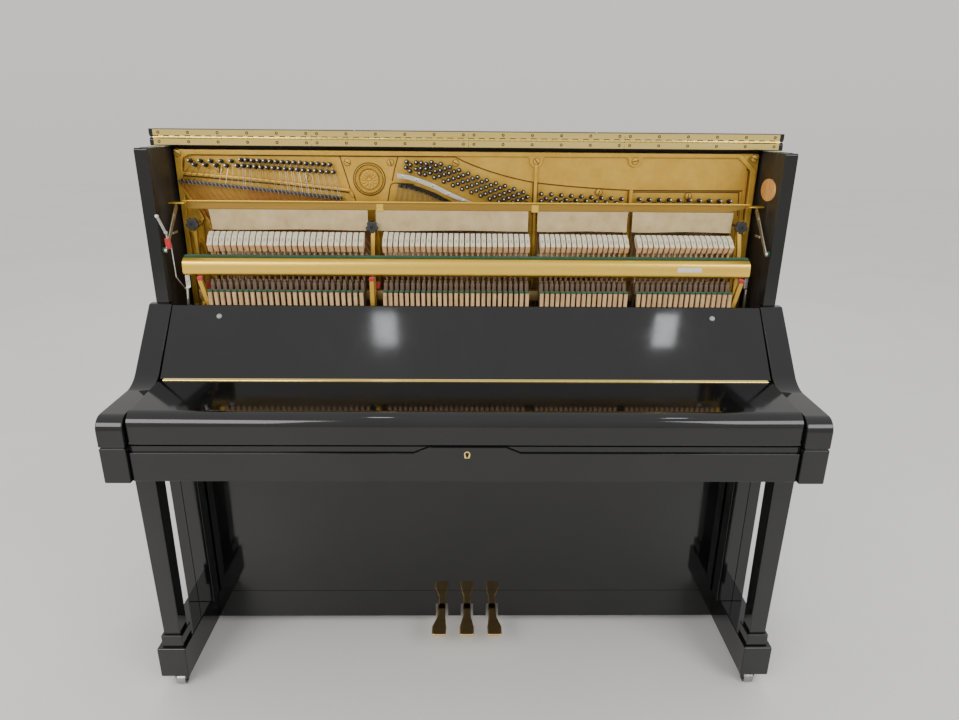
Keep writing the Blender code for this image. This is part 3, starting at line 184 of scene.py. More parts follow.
def board(corners, plane, low, high, steps=5):
    """A flat outline of (u, v) or (u, v, radius) corners, thickened across its plane from low to high."""
    work = bmesh.new()
    points = [work.verts.new(place(plane, corner[0], corner[1], low)) for corner in corners]
    work.faces.new(points)
    for index, corner in enumerate(corners):
        if len(corner) < 3:
            continue
        here = Vector(corner[:2])
        before = Vector(corners[index - 1][:2]) - here
        after = Vector(corners[(index + 1) % len(corners)][:2]) - here
        reach = corner[2] / math.tan(before.angle(after) / 2)
        bmesh.ops.bevel(
            work,
            geom=[points[index]],
            offset=reach,
            offset_type="OFFSET",
            segments=steps,
            profile=0.5,
            affect="VERTICES",
            material=-1,
        )
    grown = bmesh.ops.extrude_face_region(work, geom=work.faces[:])["geom"]
    raised = [item for item in grown if isinstance(item, bmesh.types.BMVert)]
    bmesh.ops.translate(work, vec=place(plane, 0, 0, high - low), verts=raised)
    bmesh.ops.recalc_face_normals(work, faces=work.faces)
    return work


def oblong(left, low, right, high, *radius):
    """The corners of a rectangle, all rounded alike where a radius is given."""
    return [(u, v, *radius) for u, v in ((left, low), (right, low), (right, high), (left, high))]


def block(low, high):
    """A rectangular piece between two corners."""
    work = bmesh.new()
    bmesh.ops.create_cube(work, size=1.0)
    bmesh.ops.scale(work, vec=Vector(high) - Vector(low), verts=work.verts)
    bmesh.ops.translate(work, vec=(Vector(high) + Vector(low)) / 2, verts=work.verts)
    return work


def rod(start, end, radius, sides=12, end_radius=None):
    """A round bar between two points, which may taper."""
    start = Vector(start)
    run = Vector(end) - start
    work = bmesh.new()
    bmesh.ops.create_cone(
        work,
        cap_ends=True,
        segments=sides,
        radius1=radius,
        radius2=radius if end_radius is None else end_radius,
        depth=run.length,
    )
    turn = run.to_track_quat("Z", "Y").to_matrix().to_4x4()
    bmesh.ops.transform(work, matrix=Matrix.Translation(start + run / 2) @ turn, verts=work.verts)
    return work


def soften(work, width, segments=2, sharper=35):
    """Rounds the edges where two faces meet at more than an angle."""
    edges = [
        edge
        for edge in work.edges
        if len(edge.link_faces) == 2 and edge.calc_face_angle() > math.radians(sharper)
    ]
    bmesh.ops.bevel(
        work,
        geom=edges,
        offset=width,
        offset_type="OFFSET",
        segments=segments,
        profile=0.5,
        affect="EDGES",
        clamp_overlap=True,
        material=-1,
    )
    return work


def paint(work, number):
    """Gives every face of a shape one material of its piece."""
    for face in work.faces:
        face.material_index = number
    return work


def gather(shapes):
    """Several shapes as one."""
    whole = bmesh.new()
    for shape in shapes:
        spare = bpy.data.meshes.new("spare")
        shape.to_mesh(spare)
        shape.free()
        whole.from_mesh(spare)
        bpy.data.meshes.remove(spare)
    return whole


def moved(work, matrix):
    bmesh.ops.transform(work, matrix=matrix, verts=work.verts)
    return work


def show(name, work, body, materials, nodes=(), sharp=38):
    """Makes a shape a piece that rides on a body, and that stands for these nodes."""
    bmesh.ops.recalc_face_normals(work, faces=work.faces)
    mesh = bpy.data.meshes.new(name)
    work.to_mesh(mesh)
    work.free()
    for material in materials:
        mesh.materials.append(material)
    mesh.polygons.foreach_set("use_smooth", [True] * len(mesh.polygons))
    mesh.set_sharp_from_angle(angle=math.radians(sharp))
    thing = bpy.data.objects.new(name, mesh)
    bpy.context.scene.collection.objects.link(thing)
    weighted = thing.modifiers.new("weighted_normals", "WEIGHTED_NORMAL")
    weighted.keep_sharp = True
    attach(thing, body)
    if nodes:
        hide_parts(*nodes)
    return thing


def mirrored(sign, near, far):
    """The low and high X of a span on the bass or the treble side."""
    return (near, far) if sign > 0 else (-far, -near)


polyester = finish(
    "black_polyester", WIPED, (0.0040, 0.0040, 0.0042), (0.0095, 0.0093, 0.0090), (0.060, 0.160), 5.0,
    bump=0.02, depth=0.0003, Specular_IOR_Level=0.56,
)
inner_stain = finish(
    "stained_inner_face", GRAIN, (0.012, 0.011, 0.010), (0.034, 0.031, 0.028), (0.42, 0.62), 60.0,
    along=(1, 1, 0.08), bump=0.25, depth=0.0003,
)
PANEL_IN = 0.7195
PANEL_OUT = 0.7495
for name, sign in (("left", -1), ("right", 1)):
    low, high = mirrored(sign, PANEL_IN, PANEL_OUT)
    panel = board(
        [
            (-0.080, 0.1225), (0.325, 0.1225), (0.325, 1.287, 0.003), (-0.003, 1.287, 0.005),
            (-0.003, 0.9305), (0.0115, 0.9305), (0.0115, 0.6205), (-0.080, 0.6205),
        ],
        "YZ", low, high,
    )
    for face in panel.faces:
        face.material_index = int(face.normal.x * sign < -0.9)
    low, high = mirrored(sign, 0.680, PANEL_IN + 0.004)
    stile = board(oblong(low, -0.080, high, -0.005), "XY", 0.1225, 0.6205)
    show(
        "side_board_" + name,
        gather([soften(panel, 0.0012, 3), soften(stile, 0.0012, 3)]),
        "case", (polyester, inner_stain), ["side_panel_" + name],
    )

# ---------------------------------------------------------------- arms
# Each arm is a solid cheek with a rounded nose and a swept back, lacquered over; a groove 3 mm deep
# is routed round it at the height of the key slip's top.
for name, sign in (("left", -1), ("right", 1)):
    low, high = mirrored(sign, 0.710, 0.765)
    upper = board(
        [
            (-0.325, 0.7045), (0.011, 0.7045), (0.011, 0.930), (-0.009, 0.930, 0.008),
            (-0.1484, 0.773, 0.067), (-0.325, 0.769, 0.030),
        ],
        "YZ", low, high, steps=14,
    )
    lower = board(oblong(-0.325, 0.621, 0.011, 0.7015), "YZ", low, high)
    core = board(oblong(-0.322, 0.624, 0.008, 0.740), "YZ", low + 0.003, high - 0.003)
    show(
        "cheek_" + name,
        gather([soften(upper, 0.0022, 3), soften(lower, 0.0022, 3), core]),
        "case", (polyester,), ["arm_" + name],
    )

# ---------------------------------------------------------------- legs and toe rails
# Square tapered legs stand on small blocks on the toe rails; all are lacquered hardwood.
for name, sign in (("left", -1), ("right", 1)):
    leg = bmesh.new()
    bmesh.ops.create_cube(leg, size=1.0)
    bmesh.ops.scale(leg, vec=(0.046, 0.046, 0.4657), verts=leg.verts)
    foot = [vertex for vertex in leg.verts if vertex.co.z < 0]
    bmesh.ops.scale(leg, vec=(0.87, 0.87, 1.0), verts=foot)
    bmesh.ops.translate(leg, vec=(sign * 0.722, -0.222, 0.38775), verts=leg.verts)
    plinth = block((-0.026, -0.026, 0.1223), (0.026, 0.026, 0.155))
    bmesh.ops.translate(plinth, vec=(sign * 0.722, -0.222, 0), verts=plinth.verts)
    show(
        "front_leg_" + name,
        gather([soften(leg, 0.0015, 3), soften(plinth, 0.002, 3)]),
        "case", (polyester,), ["leg_" + name],
    )
    low, high = mirrored(sign, 0.690, 0.759)
    toe = board(
        [(-0.256, 0.037, 0.004), (0.325, 0.037), (0.325, 0.122, 0.003), (-0.256, 0.122, 0.005)],
        "YZ", low, high,
    )
    show(
        "toe_block_" + name, soften(toe, 0.002, 3), "case", (polyester,), ["toe_rail_" + name],
    )

# ---------------------------------------------------------------- casters
# Steel rollers with a turned rim, each on a pin between two pressed iron cheeks under a screwed plate.
# The rear pair carries most of the weight, so it is twice as big.
roller_steel = finish(
    "turned_roller_steel", BRUSHED, (0.46, 0.46, 0.45), (0.22, 0.21, 0.20), (0.25, 0.5), 700.0,
    along=(1, 0.05, 0.05), bump=0.3, depth=0.0002, Metallic=1.0,
)
caster_iron = finish(
    "japanned_iron", CAST, (0.014, 0.014, 0.014), (0.035, 0.031, 0.028), (0.35, 0.6), 900.0,
    bump=0.4, depth=0.0003, Metallic=0.2,
)
screw_steel = finish(
    "nickel_screw", BRUSHED, (0.62, 0.61, 0.58), (0.38, 0.36, 0.33), (0.2, 0.42), 900.0,
    along=(0.1, 1, 1), bump=0.15, depth=0.0001, Metallic=1.0,
)


def spun(profile, sides=24):
    """A turned shape about Z from (radius, height) points, the first and last on the axis or joined."""
    work = bmesh.new()
    points = [work.verts.new((radius, 0, height)) for radius, height in profile]
    for first, second in zip(points, points[1:]):
        work.edges.new((first, second))
    bmesh.ops.spin(
        work,
        geom=work.verts[:] + work.edges[:],
        cent=(0, 0, 0),
        axis=(0, 0, 1),
        angle=2 * math.pi,
        steps=sides,
        use_merge=True,
        use_duplicate=False,
    )
    bmesh.ops.remove_doubles(work, verts=work.verts, dist=0.000001)
    bmesh.ops.recalc_face_normals(work, faces=work.faces)
    return work


def screw(point, towards, radius=0.003, rise=0.0012, slot_turn=0.4, sides=14):
    """A countersunk screw head with a sawn slot, seen from the way it faces."""
    head = spun(
        [(0, rise), (radius * 0.55, rise * 0.85), (radius, 0.0), (radius, -0.0012), (0, -0.0012)], sides,
    )
    # the slot takes the piece's second material, in most pieces a painted shadow colour for the shade in
    # the slot
    slot = block((-radius * 0.9, -radius * 0.15, rise * 0.7), (radius * 0.9, radius * 0.15, rise * 1.06))
    slot = paint(moved(slot, Matrix.Rotation(slot_turn, 4, "Z")), 1)
    turn = Vector(towards).to_track_quat("Z", "Y").to_matrix().to_4x4()
    return moved(gather([head, slot]), Matrix.Translation(point) @ turn)


# painted shadow: a near-black colour for screw slots, holes, countersinks and recesses, where shade falls
painted_hollow_shadow = finish(
    "shadow_in_slots", CAST, (0.006, 0.005, 0.004), (0.02, 0.016, 0.012), (0.6, 0.85), 900.0, bump=0.2
)
for end, x, y, radius, top in (
    ("front", 0.717, -0.234, 0.016, 0.0367), ("rear", 0.600, 0.265, 0.034, 0.122),
):
    for name, sign in (("left", -1), ("right", 1)):
        half = 0.011
        rim = radius
        wheel = spun(
            [
                (0, half), (rim * 0.30, half), (rim * 0.36, half - 0.002), (rim * 0.72, half - 0.002),
                (rim * 0.80, half), (rim * 0.95, half), (rim, half - 0.0015), (rim, -half + 0.0015),
                (rim * 0.95, -half), (rim * 0.80, -half), (rim * 0.72, -half + 0.002),
                (rim * 0.36, -half + 0.002), (rim * 0.30, -half), (0, -half),
            ],
            40,
        )
        # a short spoke pattern shows that the roller turns; its holes are dark discs of painted shadow
        for step in range(5):
            hole = rod((rim * 0.54, 0, -half + 0.0005), (rim * 0.54, 0, half - 0.0005), rim * 0.10, 10)
            hole = paint(moved(hole, Matrix.Rotation(step * math.tau / 5, 4, "Z")), 1)
            wheel = gather([wheel, hole])
        upright = Matrix.Translation((sign * x, y, radius)) @ Matrix.Rotation(math.pi / 2, 4, "Y")
        show(
            f"{end}_roller_{name}", moved(wheel, upright), f"{end}_wheel_{name}", (roller_steel, painted_hollow_shadow),
            [f"{end}_wheel_{name}"],
        )
        reach = radius * 0.75
        shapes = []
        for side in (-1, 1):
            inner = sign * x + side * 0.012
            outer = sign * x + side * 0.015
            cheek = board(
                [
                    (y - reach, 2 * radius + 0.0015), (y - reach * 0.55, radius * 0.62, radius * 0.3),
                    (y + reach * 0.55, radius * 0.62, radius * 0.3), (y + reach, 2 * radius + 0.0015),
                    (y + reach, top), (y - reach, top),
                ],
                "YZ", min(inner, outer), max(inner, outer),
            )
            shapes.append(soften(cheek, 0.0005, 1))
            shapes.append(paint(
                rod(
                    (outer - side * 0.001, y, radius), (outer + side * 0.0015, y, radius), radius * 0.2,
                    14,
                ),
                1,
            ))
        shapes.append(block(
            (sign * x - 0.0145, y - reach, 2 * radius + 0.0017), (sign * x + 0.0145, y + reach, top),
        ))
        show(
            f"{end}_fork_{name}", gather(shapes), "case", (caster_iron, screw_steel),
            [f"{end}_caster_{name}"],
        )

# ---------------------------------------------------------------- key bed, key slip and lower case
# The key bed is a thick stained board between the arms. The key slip in front of it is lacquered,
# with a finger cove along its top that stops either side of the lock, whose brass keyhole plate shows.
bare_stain = finish(
    "stained_board", GRAIN, (0.016, 0.014, 0.012), (0.045, 0.036, 0.028), (0.5, 0.7), 45.0,
    along=(0.06, 1, 1), bump=0.3, depth=0.0004,
)
polished_brass = finish(
    "polished_brass", BRUSHED, (1.0, 0.80, 0.28), (0.86, 0.61, 0.15), (0.05, 0.13), 500.0,
    along=(0.04, 1, 1), bump=0.05, depth=0.0001, Metallic=1.0,
)


def refinish(name, material, edge=0.0):
    """Gives a node that is shown as it is its material, and rounds its edges a little."""
    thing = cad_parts[name]
    thing.data.materials.clear()
    thing.data.materials.append(material)
    if edge:
        weld = thing.modifiers.new("weld", "WELD")
        weld.merge_threshold = 0.00001
        bevel = thing.modifiers.new("eased_edges", "BEVEL")
        bevel.width = edge
        bevel.segments = 2
        bevel.limit_method = "ANGLE"
        bevel.angle_limit = math.radians(40)
    return thing


refinish("key_bed", bare_stain, 0.001)
refinish("bottom_board", bare_stain, 0.001)
slip_outline = [
    (-0.7092, 0.6212), (0.7092, 0.6212), (0.7092, 0.6880), (0.1130, 0.6880), (0.0815, 0.7018),
    (-0.0815, 0.7018), (-0.1130, 0.6880), (-0.7092, 0.6880),
]
slip = [
    soften(board(slip_outline, "XZ", -0.3160, -0.3100), 0.0016, 3),
    soften(block((-0.7092, -0.3104, 0.6212), (0.7092, -0.2993, 0.7020)), 0.0012, 2),
]
show("key_slip_rail", gather(slip), "case", (polyester,), ["key_slip"])
ring_outline = []
for step in range(21):
    # the round top of the plate, from its right shoulder over to its left one
    angle = step / 20 * 4.2 - 0.53
    ring_outline.append((0.0068 * math.cos(angle), 0.6868 + 0.0068 * math.sin(angle)))
ring_outline += [(-0.0056, 0.6775, 0.002), (0.0056, 0.6775, 0.002)]
keyhole = [soften(board(ring_outline, "XZ", -0.3170, -0.3158, 3), 0.0004, 2)]
# the keyhole's round hole and its slot are dark pieces of painted shadow
keyhole.append(paint(rod((0, -0.3160, 0.6872), (0, -0.3173, 0.6872), 0.0042, 18), 1))
slot_outline = [(-0.0016, 0.6860), (-0.0030, 0.6792, 0.001), (0.0030, 0.6792, 0.001), (0.0016, 0.6860)]
keyhole.append(paint(board(slot_outline, "XZ", -0.3173, -0.3160, 2), 1))
show("keyhole_plate", gather(keyhole), "case", (polished_brass, painted_hollow_shadow))

# the bottom rail is one board with a slot for each pedal
rail_outline = [(-0.6897, 0.037)]
for x in (-0.07, 0.0, 0.07):
    rail_outline += [
        (x - 0.017, 0.037), (x - 0.017, 0.0784, 0.004), (x + 0.017, 0.0784, 0.004), (x + 0.017, 0.037),
    ]
rail_outline += [(0.6897, 0.037), (0.6897, 0.122), (-0.6897, 0.122)]
rail_shapes = [soften(board(rail_outline, "XZ", -0.035, -0.013, 3), 0.0010)]
show("pedal_rail", gather(rail_shapes), "case", (polyester,), ["bottom_rail"])
lower = soften(block((-0.678, -0.035, 0.1223), (0.678, -0.017, 0.617)), 0.0015, 3)
show("knee_panel", lower, "lower_panel", (polyester,), ["lower_panel"])
clip_steel = finish(
    "spring_steel", BRUSHED, (0.55, 0.54, 0.52), (0.35, 0.33, 0.30), (0.25, 0.45), 800.0,
    along=(1, 0.05, 1), bump=0.1, depth=0.0001, Metallic=1.0,
)
refinish("lower_panel_clip", clip_steel)

# ---------------------------------------------------------------- lid and its hinge
# The lid is two lacquered boards. The front one is folded back on the rear one about a brass piano
# hinge, whose two leaves are screwed to the boards' edges and stand one over the other.
rear = board(
    [(0.108, 1.288), (0.325, 1.288, 0.003), (0.325, 1.307, 0.004), (0.1125, 1.307), (0.108, 1.3025)],
    "YZ", -0.7595, 0.7595,
)
show("top_lid_rear", soften(rear, 0.0014, 3), "case", (polyester,), ["rear_lid"])
flap = board(
    [
        (0.108, 1.3125), (0.1125, 1.308), (0.241, 1.308, 0.003), (0.241, 1.327, 0.006),
        (0.108, 1.327, 0.0015),
    ],
    "YZ", -0.7595, 0.7595,
)
show("top_lid_flap", soften(flap, 0.0014, 3), "front_lid", (polyester,), ["front_lid"])

HINGE = Vector((0, 0.1065, 1.3075))
fixed_leaf = []
moving_leaf = []
for length in range(4):
    # the hinge comes in four lengths, each with six screws in each leaf
    left = -0.7495 + 0.37475 * length
    right = left + 0.37475 - 0.0007
    fixed_leaf.append(soften(block((left, 0.1068, 1.2900), (right, 0.1079, 1.3047)), 0.0003, 1))
    moving_leaf.append(soften(block((left, 0.1068, 1.3115), (right, 0.1079, 1.3250)), 0.0003, 1))
    for index in range(6):
        x = left + 0.0128 + 0.0699 * index
        turn = draw.uniform(0, math.pi)
        for leaf, z, way in ((fixed_leaf, 1.2975, turn), (moving_leaf, 1.3185, turn + 1)):
            leaf.append(screw((x, 0.10685, z), (0, -1, 0), 0.0028, 0.0002, way, 14))
            # a dark ring round each screw head is painted shadow in its countersink
            leaf.append(paint(rod((x, 0.1069, z), (x, 0.10672, z), 0.0036, 16), 1))
knuckles = 120
pitch = 1.499 / knuckles
for index in range(knuckles):
    left = -0.7495 + pitch * index
    barrel = rod((left + 0.0003, HINGE.y, HINGE.z), (left + pitch - 0.0003, HINGE.y, HINGE.z), 0.0029, 10)
    strap_z = (1.3045, 1.3068) if index % 2 == 0 else (1.3082, 1.3120)
    strap = block((left + 0.0003, 0.1068, strap_z[0]), (left + pitch - 0.0003, 0.1079, strap_z[1]))
    target = fixed_leaf if index % 2 == 0 else moving_leaf
    target += [barrel, strap]
show(
    "lid_hinge_lower", gather(fixed_leaf), "case", (polished_brass, painted_hollow_shadow),
    ["lid_hinge_fixed_leaf"],
)
show(
    "lid_hinge_upper", gather(moving_leaf), "front_lid", (polished_brass, painted_hollow_shadow),
    ["lid_hinge_moving_leaf"],
)

# ---------------------------------------------------------------- fallboard
# The key lid curls over the front of the keys and folds back on the sloped panel, about a long brass
# hinge set in the crease. Two rubber buttons on the slope stop it.
lid_profile = [
    (-0.313, 0.7045, 0.003), (-0.295, 0.7045, 0.003), (-0.295, 0.7535, 0.012), (-0.1409, 0.76435),
    (-0.1420, 0.78235), (-0.313, 0.7715, 0.030),
]
key_lid = board(lid_profile, "YZ", -0.708, 0.708, steps=12)
show(
    "key_lid", soften(key_lid, 0.0012, 3), "fallboard_lid", (polyester,), ["fallboard_lid"],
)
SLOPE = math.radians(50)
CREASE = Vector((0, -0.138, 0.7826))


def on_slope(along, down):
    """The Y and Z of a point along the sloped panel's face, and down into its thickness."""
    return (
        CREASE.y + along * math.cos(SLOPE) + down * math.sin(SLOPE),
        CREASE.z + along * math.sin(SLOPE) - down * math.cos(SLOPE),
    )


panel_profile = [
    (*on_slope(0.0058, 0.004), 0.001), on_slope(0.0058, 0.018), (*on_slope(0.195, 0.018), 0.004),
    (*on_slope(0.195, 0.004), 0.004),
]
slope_panel = board(panel_profile, "YZ", -0.708, 0.708, steps=8)
show(
    "sloped_fall_panel", soften(slope_panel, 0.001, 3), "case", (polyester,), ["fallboard_panel"],
)
crease_hinge = []
knuckles = 56
pitch = 1.396 / knuckles
for index in range(knuckles):
    left = -0.698 + pitch * index
    crease_hinge.append(rod(
        (left + 0.0003, CREASE.y, CREASE.z), (left + pitch - 0.0003, CREASE.y, CREASE.z), 0.0033, 12,
    ))
crease_hinge.append(board(
    [
        on_slope(0.001, 0.0033), on_slope(0.0040, 0.0033), on_slope(0.0040, 0.012),
        on_slope(0.0055, 0.012), on_slope(0.0055, 0.0012), on_slope(0.0030, 0.0012),
    ],
    "YZ", -0.698, 0.698,
))
show(
    "fallboard_hinge_barrel", gather(crease_hinge), "case", (polished_brass,), ["fallboard_hinge"],
)
rubber = finish(
    "black_rubber", CAST, (0.010, 0.010, 0.010), (0.022, 0.021, 0.020), (0.55, 0.75), 1200.0, bump=0.3,
    depth=0.0001,
)
clear_rubber = finish(
    "clear_button_rubber", CAST, (0.27, 0.27, 0.26), (0.40, 0.40, 0.39), (0.15, 0.35), 1200.0, bump=0.15,
    depth=0.0001, Subsurface_Weight=0.2, Subsurface_Scale=0.002,
)
away = Vector((0, -math.sin(SLOPE), math.cos(SLOPE)))
for name, x in (("left", -0.5925), ("right", 0.5885)):
    y, z = on_slope(0.163, 0.0045)
    turn = away.to_track_quat("Z", "Y").to_matrix().to_4x4()
    button = spun([(0, 0.0052), (0.0042, 0.0048), (0.0059, 0.0034), (0.0065, 0.0), (0, 0.0)], 24)
    show(
        "stop_button_" + name, moved(button, Matrix.Translation((x, y, z)) @ turn), "case", (clear_rubber,),
    )

# ---------------------------------------------------------------- keyboard
# 52 white keys with moulded caps on spruce levers, and 36 black keys, on a key frame of three rails
# with green front punchings. Middle C and the sharp above it move by themselves.
key_cap = finish(
    "white_key_cap", WIPED, (0.80, 0.79, 0.74), (0.74, 0.72, 0.65), (0.12, 0.24), 12.0, bump=0.02,
    Subsurface_Weight=0.05, Subsurface_Scale=0.002,
)
spruce = finish(
    "spruce", GRAIN, (0.60, 0.41, 0.21), (0.72, 0.54, 0.32), (0.45, 0.65), 90.0, along=(1, 0.05, 1),
    bump=0.25, depth=0.0002,
)
ebony_cap = finish(
    "black_key_cap", GRAIN, (0.010, 0.010, 0.011), (0.020, 0.019, 0.018), (0.22, 0.38), 220.0,
    along=(1, 0.05, 1), bump=0.15, depth=0.0001,
)
green_felt = finish(
    "green_felt", FELT, (0.003, 0.060, 0.026), (0.010, 0.110, 0.050), (0.85, 0.97), 900.0, bump=0.7,
    depth=0.0005, Sheen_Weight=0.12, Sheen_Roughness=0.5,
)
red_felt = finish(
    "red_felt", FELT, (0.42, 0.012, 0.018), (0.62, 0.035, 0.035), (0.85, 0.97), 900.0, bump=0.7,
    depth=0.0005, Sheen_Weight=0.35, Sheen_Roughness=0.5,
)
maple = finish(
    "maple", GRAIN, (0.52, 0.35, 0.19), (0.66, 0.48, 0.29), (0.4, 0.6), 80.0, along=(0.05, 1, 1),
    bump=0.15, depth=0.0002,
)
KEY_PITCH = 0.0235
MIDDLE_C = 40


def is_black(note):
    return (note - 1) % 12 in (1, 4, 6, 9, 11)


def key_line(note):
    """The X of the line at the left of a white key, and through the middle of a black one."""
    return (sum(not is_black(other) for other in range(1, note)) - 26) * KEY_PITCH


def white_key(note):
    """A white key from above: a full-width head, and a tail between the black keys beside it."""
    left = key_line(note) + 0.0005
    right = key_line(note) + KEY_PITCH - 0.0005
    tail_left = left + 0.0062 if note > 1 and is_black(note - 1) else left
    tail_right = right - 0.0062 if note < 88 and is_black(note + 1) else right
    outline = [(tail_left, 0.035), (tail_left, -0.238)]
    if tail_left != left:
        outline.append((left, -0.238))
    outline += [(left, -0.288, 0.0015), (right, -0.288, 0.0015)]
    if tail_right != right:
        outline.append((right, -0.238))
    outline += [(tail_right, -0.238), (tail_right, 0.035)]
    head = soften(board(outline[::-1], "XY", 0.7275, 0.730, 2), 0.0005, 1)
    lever = block((tail_left + 0.0005, -0.286, 0.708), (tail_right - 0.0005, 0.035, 0.7274))
    front = block((left + 0.0006, -0.2865, 0.710), (right - 0.0006, -0.284, 0.7274))
    return gather([head, paint(lever, 1), front])


def black_key(note):
    """A black key: a tapered cap with a sloped front, on a low wooden lever."""
    x = key_line(note)
    cap = block((x - 0.0055, -0.2368, 0.720), (x + 0.0055, -0.1418, 0.742))
    top = [vertex for vertex in cap.verts if vertex.co.z > 0.73]
    for vertex in top:
        vertex.co.x = x + (vertex.co.x - x) * 0.80
        if vertex.co.y < -0.2:
            vertex.co.y += 0.007
    lever = block((x - 0.0052, -0.2350, 0.708), (x + 0.0052, -0.012, 0.7272))
    return gather([soften(cap, 0.0011, 3), paint(lever, 1)])


whites = [note for note in range(1, 89) if not is_black(note)]
blacks = [note for note in range(1, 89) if is_black(note)]
for side, low, high in (("bass", 1, MIDDLE_C - 1), ("treble", MIDDLE_C + 1, 88)):
    row = gather([white_key(note) for note in whites if low <= note <= high])
    show("white_key_row_" + side, row, "case", (key_cap, spruce), ["white_keys_" + side])
    row = gather([black_key(note) for note in blacks if low <= note <= high and note != MIDDLE_C + 1])
    show("black_key_row_" + side, row, "case", (ebony_cap, spruce), ["black_keys_" + side])
show("middle_c_key", white_key(MIDDLE_C), "key_middle_c", (key_cap, spruce), ["key_middle_c"])
show(
    "c_sharp_key", black_key(MIDDLE_C + 1), "key_c_sharp", (ebony_cap, spruce), ["key_c_sharp"],
)
refinish("key_frame", maple, 0.001)
cloths = [
    soften(block((-0.611, -0.2835, 0.6952), (0.611, -0.262, 0.6972)), 0.0006),
    paint(soften(block((-0.611, 0.012, 0.6952), (0.611, 0.030, 0.6980)), 0.0006), 1),
]
show("key_frame_cloths", gather(cloths), "case", (green_felt, red_felt))

# ---------------------------------------------------------------- strung back: frame, board, block
# Five posts and two beams of stained beech at the back, a ribbed spruce soundboard, and a laminated
# maple block for the tuning pins. Two recessed grips behind are for lifting.
back_stain = finish(
    "stained_beech", GRAIN, (0.020, 0.016, 0.012), (0.060, 0.044, 0.030), (0.45, 0.65), 50.0,
    along=(1, 1, 0.05), bump=0.3, depth=0.0004,
)
refinish("back_frame", back_stain, 0.002)
refinish("soundboard", finish(
    "soundboard_spruce", GRAIN, (0.66, 0.43, 0.19), (0.80, 0.58, 0.31), (0.25, 0.42), 110.0,
    along=(0.7, 1, 0.09), bump=0.12, depth=0.0002, Coat_Weight=0.3, Coat_Roughness=0.2,
))
refinish("pin_block", maple)
refinish("treble_bridge", maple, 0.0015)
refinish("bass_bridge", maple, 0.0015)
ribs = []
for index in range(11):
    middle = Vector((-0.55 + 0.11 * index, 0, 0.62))
    half = Vector((0.22, 0, 0.22)) * min(1.0, 0.45 + 0.12 * min(index, 10 - index) + 0.2)
    low, high = middle - half, middle + half
    for left, right in ((-0.61, -0.38), (-0.28, -0.05), (0.05, 0.28), (0.38, 0.61)):
        start = max(low.x, left)
        stop = min(high.x, right)
        if stop - start < 0.03:
            continue
        rise = (high.z - low.z) / (high.x - low.x)
        a = low.z + (start - low.x) * rise
        b = low.z + (stop - low.x) * rise
        ribs.append(soften(
            board(
                [(start, a - 0.011), (stop, b - 0.011), (stop, b + 0.011), (start, a + 0.011)], "XZ",
                0.2035, 0.2155,
            ),
            0.002,
        ))
show("soundboard_ribs", gather(ribs), "case", (spruce,))
grips = []
for x in (-0.165, 0.165):
    grips.append(soften(
        board(oblong(x - 0.11, 1.185, x + 0.11, 1.212, 0.012), "XZ", 0.3235, 0.3262), 0.0008,
    ))
    # the inside of each grip is a dark piece of painted shadow
    grips.append(paint(board(oblong(x - 0.098, 1.190, x + 0.098, 1.207, 0.009), "XZ", 0.3240, 0.3266), 1))
show("lifting_grips", gather(grips), "case", (caster_iron, painted_hollow_shadow))
strips = [
    soften(block((-0.7190, near, 1.2803), (0.7190, far, 1.2878)), 0.001)
    for near, far in ((0.2950, 0.3245), (0.1500, 0.1720))
]
show("lid_support_strips", gather(strips), "case", (back_stain,))

# ---------------------------------------------------------------- iron plate
# One iron casting, sprayed gold: a web over the pin block, a raised rim, and bars between four
# openings. Lines of painted shade sit in the corners where ribs meet the web, and bolts hold it to the
# back.
gold_paint = finish(
    "gold_plate_paint", CAST, (0.50, 0.285, 0.026), (0.66, 0.405, 0.060), (0.34, 0.50), 1400.0, bump=0.5,
    depth=0.0003, Metallic=0.55, Specular_IOR_Level=0.6,
)
# painted shade: a dark brown gold for the corners, grooves and hollows of the plate, where shade falls
shade_gold = finish(
    "gold_painted_shade", CAST, (0.070, 0.032, 0.006), (0.140, 0.072, 0.014), (0.45, 0.65), 1400.0, bump=0.4,
    depth=0.0003, Metallic=0.4,
)
plate_nickel = finish(
    "nickel_bar", BRUSHED, (0.74, 0.72, 0.66), (0.55, 0.52, 0.45), (0.22, 0.42), 600.0,
    along=(0.06, 1, 1), bump=0.12, depth=0.0001, Metallic=0.9,
)
FACE = 0.132


def ribbon(points, width, low, high, edge=0.0015):
    """A bar of one width along a line of (x, z) points, standing from low to high in Y."""
    work = bmesh.new()
    rungs = []
    for index, point in enumerate(points):
        here = Vector(point)
        runs = []
        if index > 0:
            runs.append((here - Vector(points[index - 1])).normalized())
        if index < len(points) - 1:
            runs.append((Vector(points[index + 1]) - here).normalized())
        run = sum(runs, Vector((0, 0))).normalized()
        across = Vector((-run.y, run.x)) * width / 2 / max(run.dot(runs[0]), 0.5)
        rungs.append([work.verts.new((spot.x, low, spot.y)) for spot in (here - across, here + across)])
    for (a, b), (c, d) in zip(rungs, rungs[1:]):
        work.faces.new((a, c, d, b))
    grown = bmesh.ops.extrude_face_region(work, geom=work.faces[:])["geom"]
    raised = [item for item in grown if isinstance(item, bmesh.types.BMVert)]
    bmesh.ops.translate(work, vec=(0, high - low, 0), verts=raised)
    bmesh.ops.recalc_face_normals(work, faces=work.faces)
    return soften(work, edge, 2, 50)


def bow(points, steps=8):
    """A smooth line through the ends and towards the middle point."""
    a, b, c = (Vector(point) for point in points)
    line = []
    for step in range(steps + 1):
        t = step / steps
        line.append(tuple(a * (1 - t) ** 2 + b * 2 * t * (1 - t) + c * t * t))
    return line


